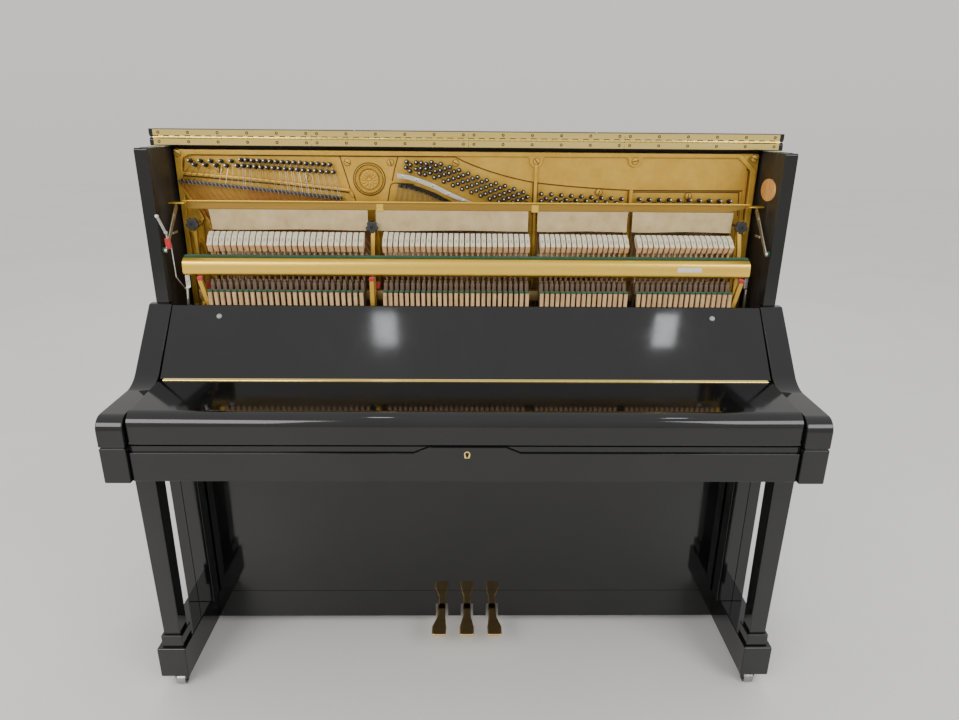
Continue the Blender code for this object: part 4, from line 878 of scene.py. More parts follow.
frame_bars = [
    soften(
        board(
            [(-0.715, 1.110), (0.715, 1.110), (0.715, 1.280, 0.006), (-0.715, 1.280, 0.006)], "XZ", FACE,
            0.144,
        ),
        0.001,
    ),
    soften(
        board(
            [(-0.715, 0.165, 0.060), (0.715, 0.165, 0.060), (0.715, 0.240), (-0.715, 0.240)], "XZ", FACE,
            0.144, 10,
        ),
        0.002,
    ),
    soften(board(oblong(-0.715, 0.240, -0.665, 1.110), "XZ", FACE, 0.144), 0.002),
    soften(board(oblong(0.665, 0.240, 0.715, 1.110), "XZ", FACE, 0.144), 0.002),
]
for x in (-0.228, 0.163, 0.405):
    frame_bars.append(soften(board(oblong(x - 0.013, 0.240, x + 0.013, 1.110), "XZ", FACE, 0.144), 0.002))
# the raised ledge along the top, cut off at the treble corner, and the rims down both sides
ledge = [
    (-0.7125, 1.2795), (0.6660, 1.2795), (0.7090, 1.2405, 0.004), (0.7115, 1.110), (0.7115, 0.240),
    (0.6965, 0.240), (0.6965, 1.1100), (0.6948, 1.2390, 0.006), (0.6625, 1.2692, 0.004),
    (-0.6780, 1.2672, 0.008), (-0.6930, 1.2585, 0.008), (-0.6970, 1.2400, 0.006), (-0.6995, 1.110),
    (-0.6975, 0.240), (-0.7125, 0.240),
]
frame_bars.append(soften(board(ledge, "XZ", 0.1225, FACE + 0.001), 0.0022))
inner_rim = [(0.6830, 1.2395, 0.004), (0.6870, 1.2395, 0.002), (0.6870, 0.260), (0.6830, 0.260)]
frame_bars.append(soften(board(inner_rim, "XZ", 0.1265, FACE + 0.001), 0.001))
frame_bars.append(ribbon([(-0.684, 1.10), (-0.684, 0.26)], 0.007, 0.124, FACE + 0.001, 0.002))
# two rounded bosses hang from the ledge, each over the strut between two groups of strings
for x, deep in ((0.1655, 1.2435), (0.4080, 1.2462)):
    boss = [
        (x - 0.0235, 1.2705), (x - 0.0170, 1.2640, 0.006), (x - 0.0150, deep + 0.006, 0.012),
        (x - 0.004, deep, 0.008), (x + 0.004, deep, 0.008), (x + 0.0150, deep + 0.006, 0.012),
        (x + 0.0170, 1.2640, 0.006), (x + 0.0235, 1.2705),
    ]
    frame_bars.append(soften(board(boss, "XZ", 0.1235, FACE + 0.001, 8), 0.0016))
frame_bars.append(ribbon([(0.1655, 1.250), (0.1655, 0.26)], 0.0085, 0.1190, FACE + 0.001, 0.002))
frame_bars.append(ribbon([(0.4035, 1.1915), (0.4035, 0.26)], 0.0085, 0.1190, FACE + 0.001, 0.002))
frame_bars.append(ribbon([(-0.228, 1.150), (-0.228, 0.26)], 0.011, 0.116, FACE + 0.001, 0.002))
# the web's lower border, where the pin field drops a step
border = bow([(-0.0307, 1.2666), (0.050, 1.228), (0.1624, 1.2087)], 8)
border += bow([(0.170, 1.2075), (0.280, 1.196), (0.3991, 1.1917)], 6)[1:]
border += [(0.410, 1.1913), (0.6868, 1.1923)]
shelf = [(0.6868, 1.2720), (-0.0307, 1.2720)] + border
frame_bars.append(soften(board(shelf, "XZ", 0.1285, FACE + 0.001), 0.0012))
# the ridge that the bass strings bend over, and the curled arms at the bass end
frame_bars.append(ribbon(
    [(-0.7011, 1.2233), (-0.5466, 1.2127), (-0.4419, 1.2017), (-0.2919, 1.1861)], 0.0085, 0.1215,
    FACE + 0.001, 0.0028,
))
frame_bars.append(ribbon(
    [(-0.2950, 1.1870), (-0.2890, 1.1780), (-0.2860, 1.1690)], 0.006, 0.1250, FACE + 0.001, 0.0015,
))
upper_curl = bow([(-0.7020, 1.1840), (-0.6700, 1.1400), (-0.6630, 1.1150)], 7)
upper_curl += bow([(-0.6640, 1.108), (-0.676, 1.100), (-0.694, 1.088)], 5)[1:]
frame_bars.append(ribbon(upper_curl, 0.0085, 0.1220, 0.142, 0.002))
second_curl = bow([(-0.6720, 1.1500), (-0.6480, 1.1200), (-0.6440, 1.0800)], 7)
frame_bars.append(ribbon(second_curl, 0.0075, 0.1240, 0.142, 0.002))
lower_curl = bow([(-0.6960, 1.0900), (-0.6900, 1.0680), (-0.6700, 1.0520)], 6)
lower_curl += bow([(-0.6690, 1.045), (-0.660, 1.034), (-0.6700, 0.990)], 5)[1:]
frame_bars.append(ribbon(lower_curl, 0.0095, 0.1200, 0.142, 0.002))
frame_bars.append(soften(
    board(
        [(-0.665, 0.96), (-0.646, 0.96), (-0.640, 1.07), (-0.652, 1.13), (-0.665, 1.13)], "XZ", 0.134,
        0.143,
    ),
    0.002,
))
show("gold_iron_plate", gather(frame_bars), "case", (gold_paint,), ["iron_plate"])

# painted shade: darker gold lines in the corners beside the ribs, and round the sunk string field
lines = []
for points in (
    [(-0.6760, 1.2665), (-0.30, 1.2662), (0.1400, 1.2670)], [(0.1910, 1.2672), (0.3830, 1.2680)],
    [(0.4330, 1.2682), (0.6615, 1.2684), (0.6935, 1.2385), (0.6955, 1.12)],
    [(0.1480, 1.2640), (0.1500, 1.2520), (0.1598, 1.2420), (0.1602, 1.13)],
    [(0.1830, 1.2640), (0.1812, 1.2520), (0.1712, 1.2420), (0.1708, 1.13)],
    [
        (0.3905, 1.2650), (0.3925, 1.2540), (0.4010, 1.2452), (0.4150, 1.2452), (0.4235, 1.2540),
        (0.4255, 1.2650),
    ],
    [(0.3985, 1.1880), (0.3985, 1.13)], [(0.4085, 1.1860), (0.4085, 1.13)],
    [(0.4085, 1.1862), (0.6760, 1.1872), (0.6800, 1.13)], [(-0.3145, 1.2674), (-0.2926, 1.1889)],
    [(-0.1727, 1.2665), (-0.1821, 1.2353), (-0.1886, 1.2079)],
    [(-0.6925, 1.2570), (-0.6960, 1.2400), (-0.6985, 1.2270)],
    [(-0.7000, 1.2175), (-0.4419, 1.1955), (-0.2950, 1.1795)],
    [(-0.2858, 1.1770), (-0.2820, 1.1660), (-0.2790, 1.1500)],
    [
        (-0.2080, 1.1500), (-0.2002, 1.1620), (-0.1945, 1.1920), (-0.1910, 1.2010), (-0.1820, 1.2035),
        (-0.1336, 1.2010),
    ],
):
    lines.append(ribbon(points, 0.0024, 0.1305, FACE + 0.0005, 0.0004))
lines.append(ribbon([(x, z - 0.0012) for x, z in border], 0.0028, 0.1300, FACE + 0.0005, 0.0004))
show("plate_painted_shade_lines", gather(lines), "case", (shade_gold,))

bolts = []
for x, z in (
    (-0.7035, 1.2700), (0.7000, 1.2690), (-0.2965, 1.2515), (-0.1912, 1.2523), (-0.0318, 1.2517),
    (0.166, 1.2583), (0.4078, 1.2603), (-0.6094, 1.2334), (-0.3962, 1.2134), (0.3248, 1.185),
    (0.549, 1.1772),
):
    front = 0.1222 if abs(x) > 0.69 else 0.1232 if x in (0.166, 0.4078) else 0.1282 if x > 0.3 else 0.1315
    turned = draw.uniform(0.2, 2.8)
    bolts.append(screw((x, front, z), (0, -1, 0), 0.0078, 0.0010, turned, 24))
    # a dark gold ring round each bolt head is painted shade, and the bolts' slots are painted shade too
    ring = spun(
        [(0.0078, -0.0006), (0.0090, -0.0006), (0.0090, 0.0003), (0.0078, 0.0003), (0.0078, -0.0006)], 24,
    )
    bolts.append(paint(
        moved(ring, Matrix.Translation((x, front, z)) @ Matrix.Rotation(math.pi / 2, 4, "X")), 1,
    ))
show("plate_bolts", gather(bolts), "case", (gold_paint, shade_gold))

# a plain medallion: a ring of beads round a rosette
medal = []
centre = Vector((-0.2445, 0.1310, 1.2120))
facing = Matrix.Translation(centre) @ Matrix.Rotation(math.pi / 2, 4, "X")
medal.append(moved(
    spun(
        [
            (0.0378, -0.001), (0.0378, 0.0022), (0.0362, 0.0032), (0.0346, 0.0012), (0.0272, 0.0012),
            (0.0262, 0.0028), (0.0250, 0.0012), (0, 0.0012), (0, -0.001),
        ],
        56,
    ),
    facing,
))
for index in range(30):
    angle = math.tau * index / 30
    bead = bmesh.new()
    bmesh.ops.create_icosphere(bead, subdivisions=1, radius=0.0025)
    bmesh.ops.translate(
        bead, vec=(0.0310 * math.cos(angle), 0.0310 * math.sin(angle), 0.0020), verts=bead.verts,
    )
    medal.append(moved(bead, facing))
for index in range(12):
    petal = bmesh.new()
    bmesh.ops.create_icosphere(petal, subdivisions=2, radius=1.0)
    bmesh.ops.scale(petal, vec=(0.0080, 0.0026, 0.0022), verts=petal.verts)
    bmesh.ops.translate(petal, vec=(0.0130, 0, 0.0018), verts=petal.verts)
    medal.append(moved(petal, facing @ Matrix.Rotation(math.tau * index / 12, 4, "Z")))
medal.append(moved(spun([(0, 0.0045), (0.0035, 0.0036), (0.0048, 0.0010), (0, 0.0010)], 20), facing))
# three thin rings of the dark shade gold are painted shade at the medallion's rims and steps
for radius in (0.0392, 0.0340, 0.0236):
    inside, outside, top = radius - 0.0009, radius + 0.0009, 0.0014 if radius < 0.039 else 0.0004
    section = [(inside, -0.0005), (outside, -0.0005), (outside, top), (inside, top), (inside, -0.0005)]
    shadow = spun(section, 56)
    medal.append(paint(moved(shadow, facing), 1))
show("plate_medallion", gather(medal), "case", (gold_paint, shade_gold))

# ---------------------------------------------------------------- tuning pins and strings
# Blued steel pins with bright square ends, each with three turns of string. The bass strings are
# copper wound and cross to the right over the plain steel strings, three to a note, of the rest.
blued = finish(
    "blued_pin_steel", BRUSHED, (0.035, 0.038, 0.050), (0.11, 0.10, 0.10), (0.22, 0.42), 900.0, bump=0.2,
    depth=0.0001, Metallic=0.9,
)
string_steel = finish(
    "string_steel", BRUSHED, (0.52, 0.50, 0.47), (0.30, 0.27, 0.24), (0.28, 0.45), 900.0, bump=0.1,
    depth=0.00005, Metallic=1.0,
)
copper_winding = finish(
    "copper_winding", BRUSHED, (0.62, 0.26, 0.12), (0.36, 0.13, 0.06), (0.30, 0.5), 1800.0,
    along=(0.3, 0.3, 1), bump=0.6, depth=0.0002, Metallic=1.0,
)


def pin(x, z, base=FACE):
    """One tuning pin: a shank with its coil, and a lighter end, worn bright and painted lighter still as a
    highlight.
    """
    point = Matrix.Translation((x, base, z - 0.0025)) @ Matrix.Rotation(math.pi / 2 - 0.12, 4, "X")
    shank = spun(
        [
            (0, 0.0248), (0.0017, 0.0246), (0.0019, 0.0240), (0.0034, 0.0225), (0.0037, 0.0150),
            (0.0037, -0.001), (0, -0.001),
        ],
        9,
    )
    # the faces at the tip take the second material, a near-white colour that is partly real wear and partly
    # a painted highlight
    for face in shank.faces:
        face.material_index = int(face.calc_center_median().z > 0.0242)
    coil = spun(
        [
            (0.0050, 0.0060), (0.0057, 0.0070), (0.0050, 0.0080), (0.0057, 0.0090), (0.0050, 0.0100),
            (0.0057, 0.0110), (0.0050, 0.0120), (0.0037, 0.0120), (0.0037, 0.0060), (0.0050, 0.0060),
        ],
        9,
    )
    return moved(gather([shank, coil]), point)


# partly the pin end's real worn brightness, partly a painted highlight
pin_end_wear_and_highlight = finish(
    "pin_end_wear_and_painted_highlight", BRUSHED, (0.90, 0.88, 0.84), (0.70, 0.67, 0.62), (0.30, 0.45), 900.0, bump=0.1,
    depth=0.0001, Metallic=0.9,
)


def spread(low, high, count):
    """Evenly spaced points from one (x, z) to another."""
    return [Vector(low).lerp(Vector(high), index / (count - 1)) for index in range(count)]


upper_row = spread((-0.6751, 1.2547), (-0.5759, 1.2543), 5) + spread(
    (-0.5524, 1.2576), (-0.3381, 1.2482), 16,
)
lower_row = spread((-0.6651, 1.2455), (-0.5886, 1.2438), 4) + spread(
    (-0.5623, 1.2440), (-0.3304, 1.2304), 17,
)
bass_pins = sorted(upper_row + lower_row, key=lambda point: point.x)
spots = list(bass_pins)
tenor_pins = [Vector(point) for point in (
    (-0.1508, 1.2562), (-0.1416, 1.2483), (-0.1528, 1.2423), (-0.1433, 1.2343), (-0.1275, 1.2545),
    (-0.1151, 1.2538), (-0.1032, 1.2515), (-0.0901, 1.2556), (-0.0796, 1.2477), (-0.0676, 1.2510),
    (-0.1284, 1.2390), (-0.1167, 1.2407), (-0.1042, 1.2400), (-0.0930, 1.2422), (-0.0812, 1.2340),
    (-0.0692, 1.2362), (-0.0574, 1.2403), (-0.0454, 1.2445), (-0.1197, 1.2285), (-0.1064, 1.2265),
    (-0.0938, 1.2293),
)]
for step in range(11):
    # six pins, for two notes, run up to the right; each next six start lower and further right
    start = Vector((-0.0836 + 0.0227 * step, 1.2191 - 0.0094 * step + 0.0002 * step * step))
    end = start + Vector((0.0603, 0.0185 + 0.0009 * min(step, 5)))
    tenor_pins += [spot for spot in spread(start, end, 6) if spot.x < 0.152 and spot.y > 1.135]
spots += tenor_pins
for low, high, top in ((0.1802, 0.386, 1.1822), (0.4252, 0.660, 1.1705)):
    for row, (across, down) in enumerate(((0.0, 0.0), (0.0123, 0.0100), (0.0, 0.0170), (0.0123, 0.0270))):
        for index in range(10):
            x = low + across + 0.0251 * index
            if x < high:
                spots.append(Vector((x, top - down - 0.045 * (x - low) * (low < 0.4) - 0.012 * (x - low))))
pins = [pin(spot.x, spot.y + draw.uniform(-0.0004, 0.0004)) for spot in spots]
show("tuning_pins", gather(pins), "case", (blued, pin_end_wear_and_highlight))


def strand(points, radius, sides=5):
    """A thin wire through a few points, closed at both ends."""
    shapes = [rod(start, end, radius, sides) for start, end in zip(points, points[1:])]
    return gather(shapes)


GROUPS = (
    (-0.617, -0.256, 26, 0.0106), (-0.1995, 0.1425, 27, 0.0096), (0.178, 0.381, 17, 0.0092),
    (0.412, 0.634, 18, 0.0094),
)
STRING_Y = 0.1182
bass_wires = []
plain_wires = []
string = 0
for group, (low, high, count, width) in enumerate(GROUPS):
    for index in range(count):
        share = index / (count - 1)
        strike = low + (high - low) * share
        if group == 0:
            bar = Vector((-0.7037 + 0.3878 * share, 1.206 - 0.0361 * share))
            lean = (strike - bar.x) / (bar.y - 1.075)
            foot = strike + lean * 0.745
            foot = max(foot, -0.19 + 0.48 * share)
            wires = (0.0,) if index < 10 else (-0.0024, 0.0024)
            for side in wires:
                low_point = (foot + side, 0.154, 0.315)
                strike_point = (strike + side, STRING_Y - 0.003, 1.075)
                top_point = (bar.x + side, STRING_Y - 0.003, bar.y - 0.004)
                bass_wires.append(strand([top_point, strike_point, low_point], 0.0016 - 0.0006 * share, 6))
                held = bass_pins[string]
                string += 1
                plain_wires.append(strand(
                    [top_point, (held.x + 0.0035, 0.1240, held.y - 0.003)], 0.0006, 4,
                ))
        else:
            lean = {1: 0.24 - 0.16 * share, 2: 0.07 - 0.03 * share, 3: 0.03 - 0.02 * share}[group]
            top_z = 1.145 if group > 1 else 1.204 - 0.066 * min(share * 1.7, 1.0)
            far_z = 0.96 - 0.62 * math.sin(min(1.0, (0.640 - strike) / 1.2 + 0.02) * math.pi / 2)
            for side in (-0.0026, 0.0, 0.0026):
                top = (strike + lean * (top_z - 1.075) + side, STRING_Y, top_z)
                foot = (strike - lean * (1.075 - far_z) + side, 0.158, far_z)
                plain_wires.append(strand([top, (strike + side, STRING_Y, 1.075), foot], 0.00055, 4))
show("bass_strings", gather(bass_wires), "case", (copper_winding,))
show("steel_strings", gather(plain_wires), "case", (string_steel,))

# the bars that press the strings down below the pins
bars = [paint(ribbon([(-0.7053, 1.2068), (-0.3114, 1.1675)], 0.0070, 0.1120, 0.1240, 0.0012), 3)]
for index in range(42):
    # the end of each string's wire lies across the bass bar
    share = (index + 0.5) / 42
    x, z = -0.7053 + 0.3939 * share, 1.2068 - 0.0393 * share
    bars.append(paint(
        rod((x + 0.0022, 0.1114, z - 0.0050), (x - 0.0016, 0.1112, z + 0.0046), 0.0009, 6), 4,
    ))
silver_line = [
    (-0.1737, 1.2230), (-0.1459, 1.2192), (-0.1208, 1.2120), (-0.0860, 1.1992), (-0.0537, 1.1829),
    (-0.0170, 1.1666), (0.0085, 1.1557), (0.0350, 1.1440),
]
bars.append(ribbon(silver_line, 0.0112, 0.1085, 0.1150, 0.0014))
# the strip below the silver bar is drawn in the dark shade gold with short dark rods across it: painted
# shade
comb = [(x + 0.0020, z - 0.0235) for x, z in silver_line]
bars.append(paint(ribbon(comb, 0.0100, 0.1240, 0.1300, 0.001), 1))
for start, end in zip(comb, comb[1:]):
    for index in range(7):
        x, z = Vector(start).lerp(Vector(end), index / 7)
        bars.append(paint(rod((x, 0.1225, z - 0.0058), (x + 0.001, 0.1225, z + 0.0058), 0.0016, 6), 2))
for index in (0.45, 1.75, 2.95, 4.1, 5.2):
    start = Vector(silver_line[int(index)])
    x, z = start.lerp(Vector(silver_line[int(index) + 1]), index - int(index))
    bars.append(screw((x, 0.1085, z), (0, -1, 0), 0.0036, 0.0012, draw.uniform(0, 3), 14))
for low, high, z in ((0.177, 0.398, 1.1380), (0.413, 0.659, 1.1360)):
    bars.append(ribbon([(low - 0.004, z), (high + 0.004, z)], 0.008, 0.1125, 0.1205, 0.0015))
show(
    "pressure_bars", gather(bars), "case", (plate_nickel, shade_gold, painted_hollow_shadow, blued, string_steel),
)

# ---------------------------------------------------------------- action brackets
# Cast brackets on the key bed, painted gold, hold the action's rails. A five-lobed black knob on a
# threaded stud from the plate draws each one back.
bracket_line = [
    (0.040, 0.6585), (0.090, 0.6585), (0.090, 0.670, 0.003), (0.076, 0.678, 0.004), (0.076, 0.860, 0.010),
    (0.104, 0.900, 0.010), (0.104, 1.112, 0.002), (0.076, 1.112, 0.006), (0.076, 1.095, 0.003),
    (0.093, 1.090, 0.003), (0.093, 0.908, 0.008), (0.060, 0.868, 0.010), (0.060, 0.678, 0.004),
    (0.040, 0.670, 0.003),
]
knob_black = finish(
    "moulded_knob", CAST, (0.020, 0.022, 0.025), (0.034, 0.036, 0.040), (0.36, 0.52), 700.0, bump=0.2,
    depth=0.0001,
)
for name, x, knob_x, knob_z in (
    ("left", -0.674, -0.6685, 1.1087), ("middle", -0.237, -0.2343, 1.1042), ("right", 0.671, 0.6691, 1.1091)
):
    shapes = [soften(board(bracket_line, "YZ", x - 0.004, x + 0.004), 0.001)]
    if name != "left":
        # the front leg, which shows as a gold bar between the hammers and below the rail
        face = 0.0045 if name == "middle" else -0.0045
        leg = [
            (0.0465, 0.905), (0.058, 0.905), (0.062, 1.050), (0.078, 1.094), (0.070, 1.100),
            (0.0540, 1.052),
        ]
        shapes.append(soften(board(leg, "YZ", x + face - 0.0052, x + face + 0.0052), 0.0015))
    # the post in front of the back checks, whose felt cap the rest rail falls on
    top, foot = {"left": (-0.643, -0.619), "middle": (-0.232, -0.232), "right": (0.6635, 0.6395)}[name]
    post = [
        (foot - 0.0055, 0.880), (foot + 0.0055, 0.880), (top + 0.0055, 0.9838, 0.002),
        (top - 0.0055, 0.9838, 0.002),
    ]
    shapes.append(soften(board(post, "XZ", 0.006, 0.018), 0.0015))
    show(
        "bracket_casting_" + name, gather(shapes), "case", (gold_paint,), ["action_bracket_" + name],
    )
    felts = [soften(block((top - 0.006, 0.0045, 0.9841), (top + 0.006, 0.018, 0.9925)), 0.0015)]
    if name != "right":
        far = {"left": -0.6325, "middle": -0.220}[name]
        felts.append(soften(block((far - 0.0045, 0.028, 0.960), (far + 0.0045, 0.040, 0.976)), 0.002))
    show("bracket_felts_" + name, gather(felts), "case", (red_felt,))
    lobes = []
    for step in range(5):
        angle = math.tau * step / 5 + 0.95
        for swing, reach, radius in (
            (-0.26, 0.0160, 0.0035), (0.26, 0.0160, 0.0035), (math.pi / 5, 0.0112, 0.0030),
        ):
            lobes.append((
                knob_x + reach * math.cos(angle + swing), knob_z + reach * math.sin(angle + swing), radius,
            ))
    knob = [soften(board(lobes, "XZ", 0.0655, 0.0760, 4), 0.0020, 3)]
    collar = spun([(0.0038, 0.0), (0.0075, 0.0), (0.0068, 0.0022), (0.0040, 0.0022), (0.0038, 0.0)], 20)
    knob.append(moved(
        collar, Matrix.Translation((knob_x, 0.0656, knob_z)) @ Matrix.Rotation(math.pi / 2, 4, "X"),
    ))
    # a dark disc in the knob's centre is painted shadow in its hole
    knob.append(paint(rod((knob_x, 0.0660, knob_z), (knob_x, 0.0645, knob_z), 0.0037, 12), 1))
    knob.append(paint(rod((knob_x, 0.0765, knob_z), (knob_x, 0.131, knob_z), 0.0035, 12), 2))
    show(
        "star_knob_" + name, gather(knob), "case", (knob_black, painted_hollow_shadow, screw_steel),
    )

# ---------------------------------------------------------------- hammers
# 88 hammers: white wool felt over a maple moulding, on a thin shank that turns in a butt. The bass
# ones are wider. All lean back on the rest rail, and the soft pedal moves them nearer the strings.
hammer_felt = finish(
    "hammer_felt", FELT, (0.60, 0.54, 0.37), (0.80, 0.74, 0.54), (0.88, 0.98), 700.0, bump=0.6,
    depth=0.0005, Sheen_Weight=0.3, Sheen_Roughness=0.6,
)
moulding = finish(
    "hammer_moulding", GRAIN, (0.58, 0.33, 0.15), (0.74, 0.48, 0.26), (0.5, 0.68), 160.0,
    along=(1, 1, 0.10), bump=0.15, depth=0.0002,
)
butt_wood = finish(
    "butt_wood", GRAIN, (0.095, 0.056, 0.032), (0.165, 0.105, 0.062), (0.5, 0.7), 160.0, along=(1, 1, 0.12),
    bump=0.2, depth=0.0002,
)
staple = finish(
    "felt_mark", FELT, (0.30, 0.29, 0.25), (0.48, 0.46, 0.39), (0.7, 0.9), 700.0, bump=0.3, depth=0.0003
)
TILT = math.radians(35)
HEAD = Vector((0.0379, 1.0706))


def on_head(along, up, size=1.0):
    """The Y and Z of a point on a tilted hammer head, from where its shank enters."""
    return (
        HEAD.x + size * (along * math.cos(TILT) - up * math.sin(TILT)),
        HEAD.y + size * (along * math.sin(TILT) + up * math.cos(TILT)),
    )


def hammer(x, width, size, turn):
    """A hammer: moulding, felt wrapped round its end, shank and butt."""
    half = width / 2
    wood_outline = (
        (-0.0200, -0.0092), (-0.0200, 0.0090), (-0.0080, 0.0086), (0.0200, 0.0030), (0.0200, -0.0030),
        (-0.0040, -0.0092),
    )
    wood = board([on_head(*corner, size) for corner in wood_outline], "YZ", x - half, x + half, 2)
    felt_outline = (
        (-0.0194, 0.0091, 0.0004), (-0.006, 0.0078, 0.001), (0.0190, 0.0029), (0.0190, -0.0029),
        (0.000, -0.0080), (-0.006, -0.0096), (0.005, -0.0125, 0.003), (0.030, -0.0066, 0.006),
        (0.030, 0.0070, 0.007), (0.006, 0.0130, 0.006), (-0.0190, 0.0106, 0.001),
    )
    felt = board(
        [(*on_head(along, up, size), *radius) for along, up, *radius in felt_outline],
        "YZ", x - half - 0.0002, x + half + 0.0002, 3,
    )
    mark = block((x - 0.0016, -0.0050, -0.0006), (x + 0.0016, 0.0050, 0.0003))
    y, z = on_head(-0.004, 0.0122, size)
    mark = moved(mark, Matrix.Translation((0, y, z)) @ Matrix.Rotation(TILT + 0.09, 4, "X"))
    shank = rod((x, 0.0475, 0.962), (x, HEAD.x, HEAD.y), 0.0028, 8)
    collar = block((x - half * 0.62, 0.0345, HEAD.y - 0.0215), (x + half * 0.62, 0.0450, HEAD.y - 0.0070))
    butt = soften(
        board(
            [
                (0.040, 0.945), (0.055, 0.945), (0.0535, 0.972, 0.003), (0.0440, 0.980, 0.003),
                (0.0385, 0.962, 0.003),
            ],
            "YZ", x - 0.0042, x + 0.0042, 2,
        ),
        0.0006, 1,
    )
    catcher = soften(
        board(
            [(0.014, 0.954, 0.002), (0.024, 0.950, 0.002), (0.026, 0.975, 0.003), (0.0165, 0.980, 0.003)],
            "YZ", x - 0.0044, x + 0.0044, 2,
        ),
        0.0006, 1,
    )
    neck = block((x - 0.0028, 0.0170, 0.9770), (x + 0.0028, 0.0255, 0.9850))
    arm = rod((x, 0.024, 0.966), (x, 0.044, 0.958), 0.0016, 6)
    head = gather([soften(wood, 0.0006, 1), paint(soften(felt, 0.0005, 1, 60), 1), paint(mark, 3)])
    middle = Matrix.Translation((x, HEAD.x, 0))
    head = moved(head, middle @ Matrix.Rotation(turn, 4, "Z") @ middle.inverted())
    return gather([head, collar, shank, paint(butt, 2), paint(catcher, 2), paint(neck, 2), arm])


places = [
    (low + (high - low) * index / (count - 1), width)
    for low, high, count, width in GROUPS
    for index in range(count)
]
turns = [0.14 - 0.0035 * number if number < 26 else 0.0 for number in range(88)]
sizes = [1.08 - 0.14 * number / 87 for number in range(88)]
for number in range(26, 30):
    sizes[number] += 0.02 * (30 - number)
hammer_row = gather([
    hammer(*places[number], sizes[number], turns[number])
    for number in range(88)
    if number != MIDDLE_C - 1
])
show(
    "hammer_row", hammer_row, "hammers", (moulding, hammer_felt, butt_wood, staple), ["hammers"],
)
show(
    "hammer_of_middle_c", hammer(*places[MIDDLE_C - 1], sizes[MIDDLE_C - 1], 0.0), "hammer_middle_c",
    (moulding, hammer_felt, butt_wood, staple), ["hammer_middle_c"],
)

# ---------------------------------------------------------------- whippens and back checks
# Under each hammer a whippen carries a back check on a wire: a light wooden block faced with green
# felt. They stand still here. A wire spring rests on each hammer's butt and moves with it.
tan_wood = finish(
    "back_check_wood", GRAIN, (0.47, 0.285, 0.125), (0.66, 0.44, 0.23), (0.5, 0.68), 140.0,
    along=(1, 1, 0.10), bump=0.15, depth=0.0002,
)
checks = []
for x, width in places:
    block_check = board(
        [(-0.0085, 0.925, 0.002), (-0.0015, 0.925, 0.002), (-0.0005, 0.960), (-0.0105, 0.960)], "YZ",
        x - 0.0042, x + 0.0042, 2,
    )
    cloth = board(
        [
            (-0.0110, 0.9602), (-0.0003, 0.9602), (0.0010, 0.932), (0.0030, 0.932),
            (0.0022, 0.9635, 0.001), (-0.0110, 0.9635, 0.001),
        ],
        "YZ", x - 0.0044, x + 0.0044, 1,
    )
    wire = rod((x, -0.005, 0.926), (x, 0.004, 0.868), 0.0009, 5)
    lever = soften(
        board([(0.0, 0.852), (0.090, 0.852), (0.090, 0.866), (0.0, 0.868)], "YZ", x - 0.0042, x + 0.0042),
        0.0008, 1,
    )
    jack = soften(
        board(
            [(0.040, 0.866), (0.052, 0.866), (0.050, 0.940), (0.044, 0.940)], "YZ", x - 0.0026, x + 0.0026,
        ),
        0.0006, 1,
    )
    flange = soften(
        board(
            [(0.072, 0.866), (0.088, 0.866), (0.086, 0.920), (0.078, 0.920)], "YZ", x - 0.0036, x + 0.0036,
        ),
        0.0006, 1,
    )
    checks += [
        soften(block_check, 0.0007, 1), paint(cloth, 1), paint(wire, 2), lever, paint(jack, 3),
        paint(flange, 3),
    ]
show(
    "whippens_and_checks", gather(checks), "case", (tan_wood, green_felt, screw_steel, butt_wood),
)
refinish("action_rail", finish(
    "action_rail_gold", BRUSHED, (0.60, 0.44, 0.18), (0.45, 0.31, 0.11), (0.3, 0.45), 500.0,
    along=(0.05, 1, 1), bump=0.1, depth=0.0001, Metallic=0.9,
), 0.001)
springs = []
for x, width in places:
    spring = [
        rod((x, 0.050, 0.986), (x, 0.062, 0.9500), 0.0006, 4),
        rod((x - 0.004, 0.0502, 0.9865), (x + 0.004, 0.0502, 0.9865), 0.0011, 6),
    ]
    if x == places[MIDDLE_C - 1][0]:
        show("middle_c_spring", gather(spring), "hammer_middle_c", (screw_steel,))
    else:
        springs += spring
show("hammer_springs", gather(springs), "hammers", (screw_steel,))

# ---------------------------------------------------------------- dampers
# The bass and tenor notes have dampers: wooden heads with white felt wedges on bent wires, lifted
# together by the right pedal.
damper_felt = finish(
    "damper_felt", FELT, (0.66, 0.62, 0.53), (0.84, 0.81, 0.73), (0.88, 0.98), 800.0, bump=0.5, depth=0.0005
)
DAMPED_NOTES = 66
dampers = []
for x, width in places[:DAMPED_NOTES]:
    block_head = soften(
        board(
            [(0.1055, 1.000), (0.1115, 0.996), (0.1115, 1.033), (0.1055, 1.026)], "YZ", x - 0.0034,
            x + 0.0034,
        ),
        0.0006, 1,
    )
    wedge = board(
        [(0.1117, 0.996), (0.1150, 0.998), (0.1163, 1.0155), (0.1150, 1.033), (0.1117, 1.034)], "YZ",
        x - 0.0034, x + 0.0034,
    )
    wire = strand([(x, 0.0855, 0.952), (x, 0.088, 0.985), (x, 0.1058, 1.012)], 0.0009, 5)
    lever = soften(
        board(
            [(0.0825, 0.947), (0.0875, 0.947), (0.0885, 0.985), (0.0845, 0.985)], "YZ", x - 0.0032,
            x + 0.0032,
        ),
        0.0005, 1,
    )
    dampers += [block_head, paint(wedge, 1), paint(wire, 2), paint(lever, 3)]
dampers.append(paint(soften(block((-0.6415, 0.0822, 0.9472), (0.386, 0.0878, 0.9548)), 0.001), 3))
show(
    "damper_row", gather(dampers), "dampers", (tan_wood, damper_felt, screw_steel, butt_wood),
    ["dampers"],
)

